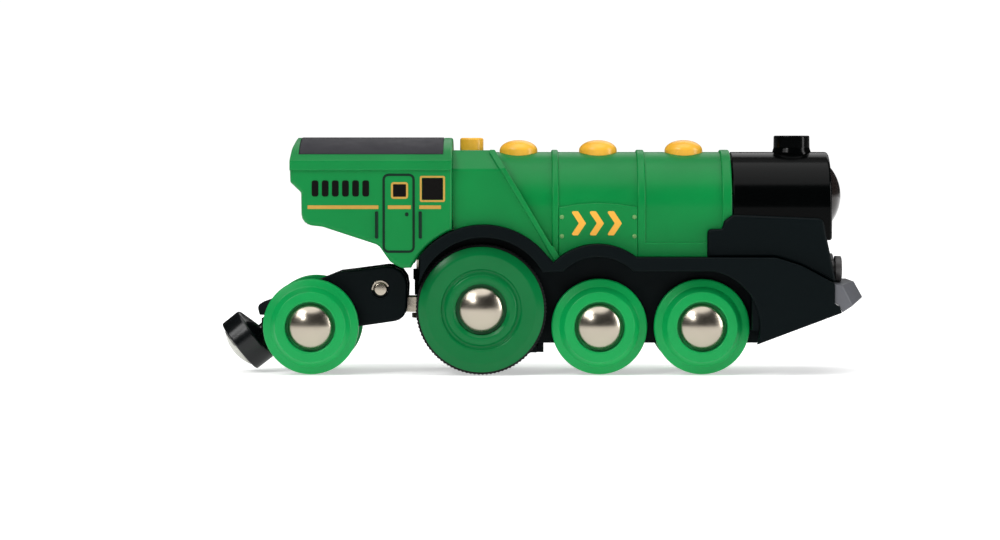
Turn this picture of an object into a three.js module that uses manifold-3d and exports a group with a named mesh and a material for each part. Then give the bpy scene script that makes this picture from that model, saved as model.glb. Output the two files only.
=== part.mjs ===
// A battery-driven toy steam locomotive for wooden railway track, with a trailing truck and a
// magnetic coupler. Millimetres, +X forward, +Y to the left, +Z up, wheels standing on Z = 0.

import * as THREE from "three";
import { mergeVertices } from "three/addons/utils/BufferGeometryUtils.js";
import Module from "manifold-3d";

const wasm = await Module();
wasm.setup();

// ---------------------------------------------------------------- driving dimensions

const GAP = 0.3; // between pieces that rest on each other
const WALL = 1.6; // thickness of the moulded shells
const FRONT_END = 72.25; // front tip of the buffer beam

const HALF_WIDTH = 17; // running boards
const CAB_HALF = 16.4; // cab side walls
const ROOF_HALF = 16.9; // cab roof, over the fascia
const FIREBOX_HALF = 14.5;
const SADDLE_HALF = 14.5;
const BOILER_R = 12.5; // the boiler is a round-topped tunnel with straight sides
const BOILER_Z = 37.2; // height of the round top's centre
const BAND_R = BOILER_R + 0.5;

const WHEEL_MID = 13; // middle plane of a wheel, from the centre plane
const WHEEL_WIDTH = 4.8;
const DRIVE_R = 14; // green flange of the drive wheel
const TYRE_R = 14.6;
const SMALL_R = 10.7;
const AXLE_R = 1.5;
const HEAD_R = 4.95; // domed steel hub
const DRIVE = { x: -13.4, z: TYRE_R };
const MIDDLE = { x: 13, z: SMALL_R };
const FRONT = { x: 35.9, z: SMALL_R };
const TRUCK = { x: -51.5, z: SMALL_R };

const BOARD_TOP = 26.2; // running board
const BOARD_BOTTOM = 23.2;
const DRIVE_ARCH = { x: -12.9, z: 15.6, outer: 17.9, inner: 15.1 };
const MIDDLE_ARCH = { x: 12.6, z: 15.2, outer: 14, inner: 11.2 };
const FRONT_ARCH = { x: 35.9, z: 10.7, r: 12.7 };
const TUB_HALF = 9.6; // inner frame between the wheels
const TUB_INNER = 8.1;
const TUB_BOTTOM = 6.9;
const SUMP_BOTTOM = 4.7; // round the axle gear
const NOSE_X = 65.1; // front wall of the chassis

const ROOF_TOP = 52.9;
const FASCIA_BOTTOM = 45.6;
const ROOF_EDGE = 47.8; // where the fascia ends and the barrel begins
const CAB_FRONT = -19.8;
const BOILER_REAR = -19.5;
const BOILER_FRONT = 42.6;
const SMOKEBOX = { rear: 42.9, front: 65, bottom: 30 };
const LENS = { z: 39.8, r: 7, dome: 10 };
const CHIMNEY_X = 56.9;
const LAMP = { y: 9.5, z: 23.5, r: 2.95, peg: 1.8, face: 67.2 };

const PIVOT = { x: -27, screwR: 1.2 }; // the drawbar's vertical pivot
const PITCH = { x: -36, z: 18.9, r: 1.5 }; // the truck's horizontal pin
const COUPLER = { x: -61.9, z: 10.6, droop: 38 }; // the coupler's horizontal pin
const KNUCKLE_X = -59.2; // the coupler's vertical pin
const EYE_R = 2.9; // the drawbar's eye
const BEAM_TONGUE = 6; // half width of the tongue that holds the buffer beam

const SCREW_R = 1.1;
const SADDLE_SCREW_X = 52;
const PLATE_SCREWS = [4.5, 24.4]; // along the bottom plate

const MODULE_MM = 0.8; // gear tooth module
const GEARS = { axle: 18, pinion: 10, wormWheel: 20 };
const IDLER = { x: -15, z: 25.84 }; // the compound gear's shaft
const WORM_R = 2.6;
const WORM_Z = IDLER.z + (GEARS.wormWheel * MODULE_MM) / 2 + WORM_R + 0.15;
const WORM_PHASE = 0.25; // a gap of the worm faces the worm wheel's top tooth at rest

const CELL = { r: 5.2, length: 44.5, x: 3.6, y: 5.4, z: 34.8 };
const BUTTONS = { r: 4.3, xs: [-5, 13, 32.4], names: ["rear", "middle", "front"] };
const SMALL_BUTTON = { r: 2.65, x: -15.6, top: 52.9 };
const BUTTON_TRAVEL = 1;
const FLANGE_TOP = 46.5; // the buttons' flanges, under the crown
const BOARD_Z = 41; // circuit board

// ---------------------------------------------------------------- materials

const finish = (color, roughness, metalness = 0) =>
  new THREE.MeshStandardMaterial({ color, roughness, metalness });

const green = finish(0x168a4c, 0.35);
const wheelGreen = finish(0x1a9a50, 0.45);
const gloss = finish(0x050607, 0.12);
const matte = finish(0x0e1517, 0.6);
const roofGrey = finish(0x4b4b50, 0.45);
const beamGrey = finish(0x8d8e95, 0.4);
const orange = finish(0xf5ab37, 0.35);
const rubber = finish(0x131313, 0.85);
const steel = finish(0xb9b3a8, 0.25, 1);
const zinc = finish(0xa7a8a6, 0.35, 1);
const brass = finish(0xc9a44c, 0.3, 1);
const smoked = finish(0x2a1f1c, 0.1);
const boardGreen = finish(0x0f5a32, 0.5);
const gearWhite = finish(0xe6e2d6, 0.5);
const cellJacket = finish(0x3a4a78, 0.4);

// ---------------------------------------------------------------- solids

const MERGE_DISTANCE = 1e-4;

/** A merged copy of a closed geometry, with its faces pointing out. */
function closed(geometry) {
  const bare = geometry.clone();
  bare.deleteAttribute("normal");
  bare.deleteAttribute("uv");
  const merged = mergeVertices(bare, MERGE_DISTANCE);
  const at = merged.getAttribute("position");
  const corners = [];
  let volume = 0;
  const [a, b, c] = [new THREE.Vector3(), new THREE.Vector3(), new THREE.Vector3()];
  for (let i = 0; i < merged.index.count; i += 3) {
    const triangle = [0, 1, 2].map((k) => merged.index.getX(i + k));
    if (new Set(triangle).size < 3) continue;
    corners.push(triangle);
    [a, b, c].forEach((point, k) => point.fromBufferAttribute(at, triangle[k]));
    volume += a.dot(b.cross(c));
  }
  merged.setIndex(corners.flatMap(([p, q, r]) => (volume < 0 ? [p, r, q] : [p, q, r])));
  return merged;
}

/** A closed geometry as a solid that can be joined and cut. */
function solid(geometry) {
  const merged = closed(geometry);
  const mesh = new wasm.Mesh({
    numProp: 3,
    vertProperties: new Float32Array(merged.getAttribute("position").array),
    triVerts: new Uint32Array(merged.index.array),
  });
  return new wasm.Manifold(mesh);
}

/** A solid as the mesh of one named piece. */
function piece(name, shape, material) {
  const mesh = shape.getMesh();
  const geometry = new THREE.BufferGeometry();
  geometry.setAttribute("position", new THREE.BufferAttribute(mesh.vertProperties, 3));
  geometry.setIndex(new THREE.BufferAttribute(mesh.triVerts, 1));
  const made = new THREE.Mesh(closed(geometry), material);
  made.name = name;
  return made;
}

const joined = (...solids) => solids.reduce((sum, next) => sum.add(next));
const cut = (body, ...tools) => tools.reduce((rest, tool) => rest.subtract(tool), body);

function box(x0, x1, y0, y1, z0, z1) {
  const geometry = new THREE.BoxGeometry(x1 - x0, y1 - y0, z1 - z0);
  geometry.translate((x0 + x1) / 2, (y0 + y1) / 2, (z0 + z1) / 2);
  return solid(geometry);
}

/** A box that is centred on the middle plane. */
const slab = (x0, x1, half, z0, z1) => box(x0, x1, -half, half, z0, z1);

const X = new THREE.Vector3(1, 0, 0);
const Y = new THREE.Vector3(0, 1, 0);
const Z = new THREE.Vector3(0, 0, 1);

function extruded(points, depth, basis, start) {
  const outline = new THREE.Shape(points.map(([u, v]) => new THREE.Vector2(u, v)));
  const geometry = new THREE.ExtrudeGeometry(outline, { depth, bevelEnabled: false });
  geometry.applyMatrix4(new THREE.Matrix4().makeBasis(...basis));
  geometry.translate(...start);
  return solid(geometry);
}

/** An outline of [x, z] points, extruded across the engine from y0 to y1. */
const across = (points, y0, y1) =>
  extruded(points, y1 - y0, [X, Z, Y.clone().negate()], [0, y1, 0]);

/** An outline of [y, z] points, extruded along the engine from x0 to x1. */
const along = (points, x0, x1) => extruded(points, x1 - x0, [Y, Z, X], [x0, 0, 0]);

/** An outline of [x, y] points, extruded upwards from z0 to z1. */
const upright = (points, z0, z1) => extruded(points, z1 - z0, [X, Y, Z], [0, 0, z0]);

/** The same outline on the left and on the right, from inner to outer. */
const bothSides = (points, inner, outer) =>
  joined(across(points, inner, outer), across(points, -outer, -inner));

/** Points on an arc, in degrees from the first axis. */
function arc(u, v, r, from, to, steps = 8) {
  return Array.from({ length: steps + 1 }, (_, i) => {
    const angle = THREE.MathUtils.degToRad(from + ((to - from) * i) / steps);
    return [u + r * Math.cos(angle), v + r * Math.sin(angle)];
  });
}

/** A closed profile of [radius, height] points, turned about the Y axis. */
function turned(profile, segments = 18) {
  const points = profile.map(([r, h]) => new THREE.Vector2(r, h));
  return solid(new THREE.LatheGeometry(points, segments));
}

/** A round bar along an axis of the engine. */
function bar(axis, r, from, to, [u, v] = [0, 0], segments = 14) {
  const geometry = new THREE.CylinderGeometry(r, r, to - from, segments);
  const middle = (from + to) / 2;
  if (axis === "x") geometry.rotateZ(-Math.PI / 2).translate(middle, u, v);
  if (axis === "y") geometry.translate(u, middle, v);
  if (axis === "z") geometry.rotateX(Math.PI / 2).translate(u, v, middle);
  return solid(geometry);
}

const group = (place = [0, 0, 0], ...children) => {
  const made = new THREE.Group();
  made.position.set(...place);
  made.add(...children);
  return made;
};

// ---------------------------------------------------------------- cab

/** The barrel roof's radius follows from its rise over the fascia. */
const ROOF_RISE = ROOF_TOP - ROOF_EDGE;
const ROOF_R = (ROOF_HALF ** 2 + ROOF_RISE ** 2) / (2 * ROOF_RISE);
const ROOF_Z = ROOF_TOP - ROOF_R;
const TRUCK_ROOM = 25.3; // the cab's floor is raised to here, over the truck's front corners
const PANEL = { rear: -53.4, front: -21.8, half: 14.2, thickness: 0.5 };

/** Points of the barrel at a given radius, from +y to -y. */
function barrel(r, half) {
  const spread = THREE.MathUtils.radToDeg(Math.asin(half / r));
  return arc(0, ROOF_Z, r, 90 - spread, 90 + spread, 10);
}

function cabShell() {
  const arch = arc(DRIVE_ARCH.x, DRIVE_ARCH.z, DRIVE_ARCH.outer + GAP, 152.5, 112.5, 7);
  const side = [
    [CAB_FRONT, ROOF_TOP + 1],
    [-54.8, ROOF_TOP + 1],
    [-54.8, ROOF_TOP],
    [-55.6, 50.6],
    [-55.9, 48],
    [-55.8, 43],
    [-53.4, 40.7],
    [-53.3, 36.2],
    ...arc(-50.4, 36.2, 2.9, 180, 265, 4),
    [-48.7, 33.1],
    [-36.4, 29],
    [-34.6, 27],
    [-32.9, 24.9],
    [-31.1, 24],
    ...arch,
    [CAB_FRONT, 32.6],
  ];
  const section = [
    [CAB_HALF, 20],
    [CAB_HALF, FASCIA_BOTTOM],
    [ROOF_HALF, FASCIA_BOTTOM],
    ...barrel(ROOF_R, ROOF_HALF),
    [-ROOF_HALF, FASCIA_BOTTOM],
    [-CAB_HALF, FASCIA_BOTTOM],
    [-CAB_HALF, 20],
  ];
  const header = 47; // the cab's front is open below here, for the motor
  const insideSide = [
    [CAB_FRONT - WALL, 54],
    [-53, 54],
    [-54.2, 48],
    [-54.1, 43.7],
    [-51.8, 41.4],
    [-51.7, 35.2],
    [-48.4, 34.7],
    [-35.5, 30.4],
    [-33, 27.6],
    [-31.6, TRUCK_ROOM + 1.5],
    [CAB_FRONT + 1, TRUCK_ROOM + 1.5],
    [CAB_FRONT + 1, header],
    [CAB_FRONT - WALL, header],
  ];
  const insideSection = [
    [CAB_HALF - WALL, 20],
    ...barrel(ROOF_R - WALL, CAB_HALF - WALL),
    [-(CAB_HALF - WALL), 20],
  ];
  const panelBed = [
    ...barrel(ROOF_R - PANEL.thickness, PANEL.half + GAP),
    ...barrel(ROOF_R + 2, PANEL.half + GAP).reverse(),
  ];
  const outside = across(side, -18, 18).intersect(along(section, -57, CAB_FRONT));
  const inside = across(insideSide, -18, 18).intersect(along(insideSection, -57, -18));
  const screwPost = bar("z", 2.4, 23.9, 31, [PIVOT.x, 0]);
  return cut(
    joined(cut(outside, inside), screwPost),
    along(panelBed, PANEL.rear - GAP, PANEL.front + GAP),
    slab(-34, -25, CAB_HALF - 2, 20, TRUCK_ROOM),
    bar("z", PIVOT.screwR + 0.15, 20, 29.6, [PIVOT.x, 0]),
  );
}

function roofPanel() {
  const section = [
    ...barrel(ROOF_R - PANEL.thickness + 0.15, PANEL.half),
    ...barrel(ROOF_R + 0.1, PANEL.half).reverse(),
  ];
  return along(section, PANEL.rear, PANEL.front);
}

// ---------------------------------------------------------------- boiler and firebox

/** The tunnel section at a given radius, down to a given height. */
const tunnel = (r, bottom) => [
  [r, bottom],
  ...arc(0, BOILER_Z, r, 0, 180, 14),
  [-r, bottom],
];

function boilerShell() {
  const low = 20;
  const sideLine = [
    ...arc(DRIVE_ARCH.x, DRIVE_ARCH.z, DRIVE_ARCH.outer + GAP, 111.3, 40, 8),
    ...arc(MIDDLE_ARCH.x, MIDDLE_ARCH.z, MIDDLE_ARCH.outer + GAP, 130, 52.4, 6),
  ];
  const above = across(
    [
      [BOILER_REAR, 60],
      ...sideLine,
      [BOILER_FRONT, BOARD_TOP + GAP],
      [BOILER_FRONT, 60],
    ],
    -18,
    18,
  );
  const fireboxSide = [
    [BOILER_REAR, 60],
    [BOILER_REAR, low],
    [7.1, low],
    [3.7, 26.4],
    [-10.4, 50.1],
    [-10.4, 60],
  ];
  const fireboxSection = [
    [FIREBOX_HALF, low],
    [FIREBOX_HALF, 44.6],
    [14.1, 46.2],
    [9.5, 50.1],
    [-9.5, 50.1],
    [-14.1, 46.2],
    [-FIREBOX_HALF, 44.6],
    [-FIREBOX_HALF, low],
  ];
  const firebox = across(fireboxSide, -18, 18).intersect(along(fireboxSection, -20, 9));
  const bands = [[2.4, 3.9], [21.5, 23.3], [40.4, BOILER_FRONT]];
  const plate = [[3.9, low], [21.5, low], [21.5, 37.5], [17, 38.2], [8.4, 38.2], [3.9, 37.5]];
  const outside = joined(
    firebox,
    along(tunnel(BOILER_R, low), -12, BOILER_FRONT),
    ...bands.map(([from, to]) => along(tunnel(BAND_R, low), from, to)),
    across(plate, -BAND_R, BAND_R),
  );
  const fireboxInside = fireboxSection.map(([y, z]) => [
    y * (1 - WALL / FIREBOX_HALF),
    z > 45 ? z - WALL : z,
  ]);
  const inside = joined(
    along(tunnel(BOILER_R - WALL, low - 1), -14, BOILER_FRONT + 1),
    across(fireboxSide.map(([x, z]) => [x + (x > -19 ? -2 : WALL), z]), -18, 18).intersect(
      along(fireboxInside.map(([y, z]) => [y, z === low ? z - 1 : z]), -20, 9),
    ),
  );
  const ledges = bothSides([[-6, 39.5], [36, 39.5], [36, 40.7], [-6, 40.7]], 8, 11.6);
  const buttonHoles = BUTTONS.xs.map((x) => bar("z", BUTTONS.r + 0.2, 44, 54, [x, 0], 18));
  const motorWindow = slab(BOILER_REAR - 1, BOILER_REAR + 3, 9, low, 47);
  return cut(
    joined(cut(outside, inside), ledges).intersect(above),
    ...buttonHoles,
    bar("z", SMALL_BUTTON.r + 0.2, 44, 54, [SMALL_BUTTON.x, 0]),
    motorWindow,
  );
}

// ---------------------------------------------------------------- smokebox and saddle

function smokebox() {
  const { rear, front, bottom } = SMOKEBOX;
  return cut(
    along(tunnel(BOILER_R, bottom), rear, front),
    along(tunnel(BOILER_R - WALL, bottom - 1), rear - 1, front - WALL),
    bar("x", LENS.r - 0.8, front - 3, front + 1, [0, LENS.z], 18),
    bar("z", 1.8, 46, 52, [CHIMNEY_X, 0]),
  );
}

/** The domed lens closes the smokebox's front, with a round plug in its hole. */
function smokeboxLens() {
  const rise = LENS.dome - Math.sqrt(LENS.dome ** 2 - LENS.r ** 2);
  const dome = [1, 0.8, 0.6, 0.4, 0.2].map((share) => {
    const r = LENS.r * share;
    return [r, Math.sqrt(LENS.dome ** 2 - r ** 2) - (LENS.dome - rise)];
  });
  const plug = LENS.r - 1;
  const profile = [[0, -2], [plug, -2], [plug, 0], [LENS.r, 0], ...dome.slice(1), [0, rise]];
  return turned(profile);
}

function chimney() {
  const profile = [
    [0, 46.8], [1.6, 46.8], [1.6, 48.6], [4.5, 48.6], [4.3, 49.8], [4.05, 50.6],
    [4.05, 53.1], [3.9, 53.4], [2.6, 53.4], [2.6, 51], [0, 51],
  ];
  const stack = turned(profile).rotate([90, 0, 0]);
  const saddleCut = cut(
    bar("x", BOILER_R + GAP, -8, 8, [0, BOILER_Z], 48),
    bar("z", 1.65, 40, 60),
  );
  return cut(stack, saddleCut);
}

function saddle() {
  const side = [
    [37, BOARD_TOP + GAP], [52.5, BOARD_TOP + GAP], [58.1, 24.7], [61.4, 22.9], [65, 21],
    [65.6, 21.2], [64.6, 26.1], [64, 28.5], [63.4, 31.5], [63, 33.4], [61.6, 35.1],
    [43.2, 35.7], [42, 35.3], [40.7, 34.3], [40.2, 32.6], [37.8, 32.4], [37, 31.5],
  ];
  const cradleBottom = SMOKEBOX.bottom - GAP;
  const web = slab(48.5, 55.5, SADDLE_HALF - 1, BOARD_TOP + GAP, 28);
  const post = bar("z", 2.4, 23.6, 33, [SADDLE_SCREW_X, 0]);
  return cut(
    joined(
      cut(
        across(side, -SADDLE_HALF, SADDLE_HALF),
        along(tunnel(BAND_R + GAP, 15), 36, SMOKEBOX.rear + GAP),
        along(tunnel(BOILER_R + GAP, cradleBottom), SMOKEBOX.rear, 67),
        slab(36, 61.5, SADDLE_HALF - WALL, 15, cradleBottom + 0.1),
      ),
      web,
      post,
    ),
    bar("z", SCREW_R + 0.15, 20, 31.5, [SADDLE_SCREW_X, 0]),
    ...[-1, 1].map((s) => bar("x", LAMP.peg + 0.2, 60, 70, [s * LAMP.y, LAMP.z])),
  );
}

/** A front lamp: bezel, domed lens and the peg that holds it, pointing along its own +Y. */
function lamp() {
  const profile = [
    [0, -3.4], [LAMP.peg, -3.4], [LAMP.peg, -1.4], [LAMP.r, -1.4], [LAMP.r, 0],
    [2.3, 0.1], [2.1, -0.2], [0, 0.1],
  ];
  return turned(profile, 16);
}

// ---------------------------------------------------------------- chassis

/** Running board with its two arches, and the sloping front end. */
function boardLine() {
  return [
    ...arc(DRIVE_ARCH.x, DRIVE_ARCH.z, DRIVE_ARCH.outer, 143.5, 35, 11),
    ...arc(MIDDLE_ARCH.x, MIDDLE_ARCH.z, MIDDLE_ARCH.outer, 131, 52.4, 6),
    [52.3, BOARD_TOP],
    [57.9, 24.4],
    [61.2, 22.6],
    [NOSE_X, 20.6],
    [NOSE_X, 17.5],
    [60, 19.4],
    [56, 21.8],
    [51, BOARD_BOTTOM],
    ...arc(MIDDLE_ARCH.x, MIDDLE_ARCH.z, MIDDLE_ARCH.inner, 45.6, 134.4, 6),
    ...arc(DRIVE_ARCH.x, DRIVE_ARCH.z, DRIVE_ARCH.inner, 29.3, 149, 11),
  ];
}

function chassisFrame() {
  const noseTip = [[NOSE_X, 15.9], [66.1, 15.3], [66.45, 13.75]];
  const skirt = [
    ...arc(FRONT_ARCH.x, FRONT_ARCH.z, FRONT_ARCH.r, -17.4, 79, 8),
    [38.2, 24.5],
    [52, 24.5],
    [57.6, 22.9],
    [61, 21],
    [NOSE_X, 19.5],
    ...noseTip,
  ];
  const wall = [
    [-24.5, SUMP_BOTTOM],
    [-1, SUMP_BOTTOM],
    [-1, TUB_BOTTOM],
    [48.5, TUB_BOTTOM],
    [50.5, 7.9],
    [50.5, 24],
    [21, 24],
    ...arc(MIDDLE_ARCH.x, MIDDLE_ARCH.z, MIDDLE_ARCH.inner + 0.6, 47, 133, 4),
    [3, 24],
    ...arc(DRIVE_ARCH.x, DRIVE_ARCH.z, DRIVE_ARCH.inner + 0.6, 33, 138, 8),
  ];
  const fenderTail = [
    ...arc(DRIVE_ARCH.x, DRIVE_ARCH.z, DRIVE_ARCH.outer, 143.5, 142, 1),
    ...arc(DRIVE_ARCH.x, DRIVE_ARCH.z, DRIVE_ARCH.inner, 145, 162.4, 3),
  ];
  const slope = [[50, 9.5], ...noseTip, [50, 7.7]];
  const body = joined(
    bothSides(boardLine(), TUB_INNER, HALF_WIDTH),
    bothSides(fenderTail, 11.5, HALF_WIDTH),
    bothSides(skirt, HALF_WIDTH - 2.2, HALF_WIDTH),
    bothSides(wall, TUB_INNER, TUB_HALF),
    across(slope, -HALF_WIDTH + 1, HALF_WIDTH - 1),
    slab(62.8, NOSE_X, HALF_WIDTH, 14.3, 20.4),
    slab(48.5 - WALL, 48.5, HALF_WIDTH - 1, 10, 24),
    slab(-5, 58, TUB_HALF, 21.7, BOARD_BOTTOM),
    slab(-24.5, -23, TUB_HALF, SUMP_BOTTOM, 19),
    slab(-30, -24, 3, 17.3, BOARD_BOTTOM),
    slab(7, 9, TUB_HALF, 22, 29.3),
    slab(39, 41, TUB_HALF, 22, 29.3),
    ...PLATE_SCREWS.map((x) => bar("z", 2.3, 8.5, 22, [x, 0])),
  );
  return cut(
    body,
    ...[DRIVE, MIDDLE, FRONT].map(({ x, z }) => bar("y", AXLE_R + 0.25, -12, 12, [x, z])),
    bar("y", 1.1, -12, 12, [IDLER.x, IDLER.z]),
    bar("z", PIVOT.screwR + 0.15, 15, 30, [PIVOT.x, 0]),
    bar("z", EYE_R + 0.4, 11.8, 17.2, [PIVOT.x, 0]),
    bar("z", SCREW_R + 0.15, 20, 30, [SADDLE_SCREW_X, 0]),
    ...PLATE_SCREWS.map((x) => bar("z", SCREW_R, 5, 19, [x, 0])),
    slab(60, 70, BEAM_TONGUE + GAP, 16.2, 19.3),
  );
}

function bottomPlate() {
  const half = TUB_INNER - GAP;
  return cut(
    joined(
      slab(-0.7, 46.6, half, TUB_BOTTOM, 8.2),
      slab(-22.7, 0.6, half, SUMP_BOTTOM, 6),
      slab(-0.7, 0.6, half, SUMP_BOTTOM, 8.2),
    ),
    ...PLATE_SCREWS.map((x) => bar("z", SCREW_R + 0.15, 5, 10, [x, 0])),
    ...PLATE_SCREWS.map((x) => bar("z", 2.2, 5, 7.7, [x, 0])),
  );
}

function bufferBeam() {
  const side = [
    [65.4, 20.2], [66.8, 20.2], [68.4, 20.7], [FRONT_END - 1.9, 20.7], [FRONT_END, 17],
    [70.4, 15.3], [66.7, 14], [66.4, 15.6], [65.4, 16.1],
  ];
  const plan = [
    [62, -16.5], [69.2, -16.5], [FRONT_END + 0.3, -8], [FRONT_END + 0.3, 8],
    [69.2, 16.5], [62, 16.5],
  ];
  return joined(
    across(side, -17, 17).intersect(upright(plan, 10, 25)),
    slab(62.6, 66, BEAM_TONGUE, 16.5, 19),
  );
}

/** A pan-head screw that points up, its shank starting at the origin. */
function screw(r, length, headR, headHeight) {
  const profile = [
    [0, -headHeight], [headR, -headHeight], [headR, 0], [r, 0], [r, length - 1], [0, length],
  ];
  return turned(profile, 12).rotate([90, 0, 0]);
}

// ---------------------------------------------------------------- wheels and axles

/** The drive wheel stands on its inner face and looks along its own +Y. */
function driveWheel() {
  const w = WHEEL_WIDTH;
  const profile = [
    [AXLE_R + 0.1, 0], [12.7, 0], [12.7, 3.7], [DRIVE_R, 3.7], [DRIVE_R, w - 0.4],
    [13.5, w], [10.6, w], [9.6, w - 0.9], [8.1, w - 0.9], [7.7, w], [5.7, w],
    [5.7, w - 1.1], [AXLE_R + 0.1, w - 1.1],
  ];
  return turned([...profile, profile[0]], 26);
}

function tyre() {
  const profile = [[12.8, 0.7], [TYRE_R, 0.8], [TYRE_R, 3.5], [12.8, 3.6]];
  return turned([...profile, profile[0]], 36);
}

function smallWheel() {
  const w = WHEEL_WIDTH;
  const profile = [
    [AXLE_R + 0.1, 0], [SMALL_R, 0], [SMALL_R, w - 1.4], [8.2, w - 0.9], [7.8, w],
    [5.6, w], [5.6, w - 1.1], [AXLE_R + 0.1, w - 1.1],
  ];
  return turned([...profile, profile[0]], 24);
}

const HEAD_BASE = WHEEL_MID + WHEEL_WIDTH / 2 - 1; // just over the wheel's recess
const HEAD_RISE = 2.1;

/** The hub's dome, from its base at the given height, as [radius, height] points. */
const dome = (base) => [
  [HEAD_R, base], [HEAD_R, base + 0.4], [3.7, base + 1.4], [2, base + 1.9],
  [0, base + HEAD_RISE],
];

/** An axle with its left head in one piece; the right end takes a pressed-on cap. */
function axle() {
  const end = -HEAD_BASE - 0.4;
  return turned([[0, end], [AXLE_R, end], [AXLE_R, HEAD_BASE], ...dome(HEAD_BASE)], 18);
}

/** The pressed-on cap, with a blind socket for the axle's end. */
function cap() {
  const socket = [[0, 0.6], [AXLE_R + 0.1, 0.6], [AXLE_R + 0.1, 0]];
  return turned([...socket, ...dome(0)], 18);
}

function wheelset(name, place, wheel, wheelMaterial) {
  const inner = WHEEL_MID - WHEEL_WIDTH / 2;
  const left = piece(`${name}_wheel_left`, wheel(), wheelMaterial);
  left.position.y = inner;
  const right = piece(`${name}_wheel_right`, wheel(), wheelMaterial);
  right.rotation.x = Math.PI;
  right.position.y = -inner;
  const capRight = piece(`${name}_axle_cap`, cap(), steel);
  capRight.rotation.x = Math.PI;
  capRight.position.y = -HEAD_BASE;
  return group([place.x, 0, place.z], piece(`${name}_axle`, axle(), steel), left, right, capRight);
}

// ---------------------------------------------------------------- gears

/** A spur gear about its own Y axis, with one tooth at the given angle from +X towards +Z. */
function gear(teeth, toothAt, y0, y1, bore) {
  const pitchR = (teeth * MODULE_MM) / 2;
  const pitch = 360 / teeth;
  const outline = [];
  const shape = [[-0.27, -0.85], [-0.12, 0.65], [0.12, 0.65], [0.27, -0.85]];
  for (let i = 0; i < teeth; i += 1) {
    for (const [share, height] of shape) {
      const angle = THREE.MathUtils.degToRad(toothAt + pitch * (i + share));
      const r = pitchR + height * MODULE_MM;
      outline.push([r * Math.cos(angle), r * Math.sin(angle)]);
    }
  }
  return cut(across(outline, y0, y1), bar("y", bore, y0 - 1, y1 + 1));
}

/** Angle from the drive axle up to the idler shaft. */
const MESH_ANGLE = THREE.MathUtils.radToDeg(Math.atan2(IDLER.z - DRIVE.z, IDLER.x - DRIVE.x));

const axleGear = () => gear(GEARS.axle, MESH_ANGLE, 3, 6.6, AXLE_R + 0.1);

/** Worm wheel and pinion in one piece. A gap of the pinion faces the axle gear's tooth. */
function compoundGear() {
  const halfPinionPitch = 180 / GEARS.pinion;
  return joined(
    gear(GEARS.wormWheel, 90, -1.2, 1.2, 1.1),
    gear(GEARS.pinion, MESH_ANGLE + 180 + halfPinionPitch, 1.1, 6.4, 1.1),
  );
}

/** A single-start worm on its shaft, along its own X axis, from -length / 2 to length / 2. */
function worm() {
  const length = 11;
  const lead = Math.PI * MODULE_MM;
  const around = 12;
  const perTurn = 5;
  const rings = Math.round((length / lead) * perTurn);
  const thread = (phase) => {
    const t = Math.abs(((phase % 1) + 1) % 1 - 0.5) * 2; // 1 half-way between threads
    return t > 0.6 ? 0.6 : t < 0.4 ? -0.6 : (t - 0.5) * 6;
  };
  const points = [];
  for (let i = 0; i <= rings; i += 1) {
    const x = -length / 2 + (length * i) / rings;
    const inside = i > 0 && i < rings;
    for (let j = 0; j < around; j += 1) {
      const share = j / around;
      const phase = x / lead - share + WORM_PHASE;
      const r = WORM_R + (inside ? thread(phase) * MODULE_MM : -0.6 * MODULE_MM);
      points.push(x, r * Math.cos(share * 2 * Math.PI), r * Math.sin(share * 2 * Math.PI));
    }
  }
  const ends = points.length / 3;
  points.push(-length / 2, 0, 0, length / 2, 0, 0);
  const index = [];
  for (let j = 0; j < around; j += 1) {
    const k = (j + 1) % around;
    for (let i = 0; i < rings; i += 1) {
      const [a, b] = [i * around, (i + 1) * around];
      index.push(a + j, b + j, b + k, a + j, b + k, a + k);
    }
    index.push(ends, j, k, ends + 1, rings * around + k, rings * around + j);
  }
  const geometry = new THREE.BufferGeometry();
  geometry.setAttribute("position", new THREE.Float32BufferAttribute(points, 3));
  geometry.setIndex(index);
  return joined(solid(geometry), bar("x", 0.75, -length / 2 - 1.4, length / 2 + 1.4));
}

// ---------------------------------------------------------------- drive and electrics

function motor() {
  const can = bar("x", 6, -38, -22.6, [0, WORM_Z], 24);
  const flats = slab(-39, -20, 7, WORM_Z - 5, WORM_Z + 5);
  return joined(
    can.intersect(flats),
    bar("x", 2, -39, -38, [0, WORM_Z]),
    bar("x", 2, -22.7, -22.2, [0, WORM_Z]),
  );
}

/** A cell lies along the engine, its nub towards the front. */
const cell = () => joined(
  bar("x", CELL.r, 0, CELL.length - 1, [0, 0], 20),
  bar("x", 1.9, CELL.length - 1.2, CELL.length, [0, 0], 12),
);

/** The rear contact: a plate with a raised spring finger behind each cell. */
function rearContact() {
  const fingers = [-1, 1].map((s) => {
    const blade = [[0.4, 31], [0.8, 31], [3, 34.8], [0.8, 38.6], [0.4, 38.6], [2.6, 34.8]];
    return across(blade, s * CELL.y - 1.5, s * CELL.y + 1.5);
  });
  return joined(slab(0, 0.5, 9.5, 30, 39.4), ...fingers);
}

const frontContact = () => slab(48.5, 49, 9.5, 30, 39.4);

/** The board carries one switch under each button. */
function circuitBoard() {
  const top = BOARD_Z + 1.2;
  const switches = [SMALL_BUTTON.x, ...BUTTONS.xs].flatMap((x) => [
    slab(x - 3, x + 3, 3, top - 0.2, top + 1.6),
    bar("z", 1.4, top + 1.4, FLANGE_TOP - 0.8 - BUTTON_TRAVEL - 0.3, [x, 0], 14),
  ]);
  return joined(slab(-17.6, 37, 8.4, BOARD_Z, top), ...switches);
}

const speaker = () => turned([[0, 0], [4, 0], [4, 1.6], [8, 2], [8, 4], [7, 4], [3, 3], [0, 3]]);

const led = () => turned([[0, 0], [1.5, 0], [1.5, 1.6], [1, 2.3], [0, 2.5]], 12);

// ---------------------------------------------------------------- buttons

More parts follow.
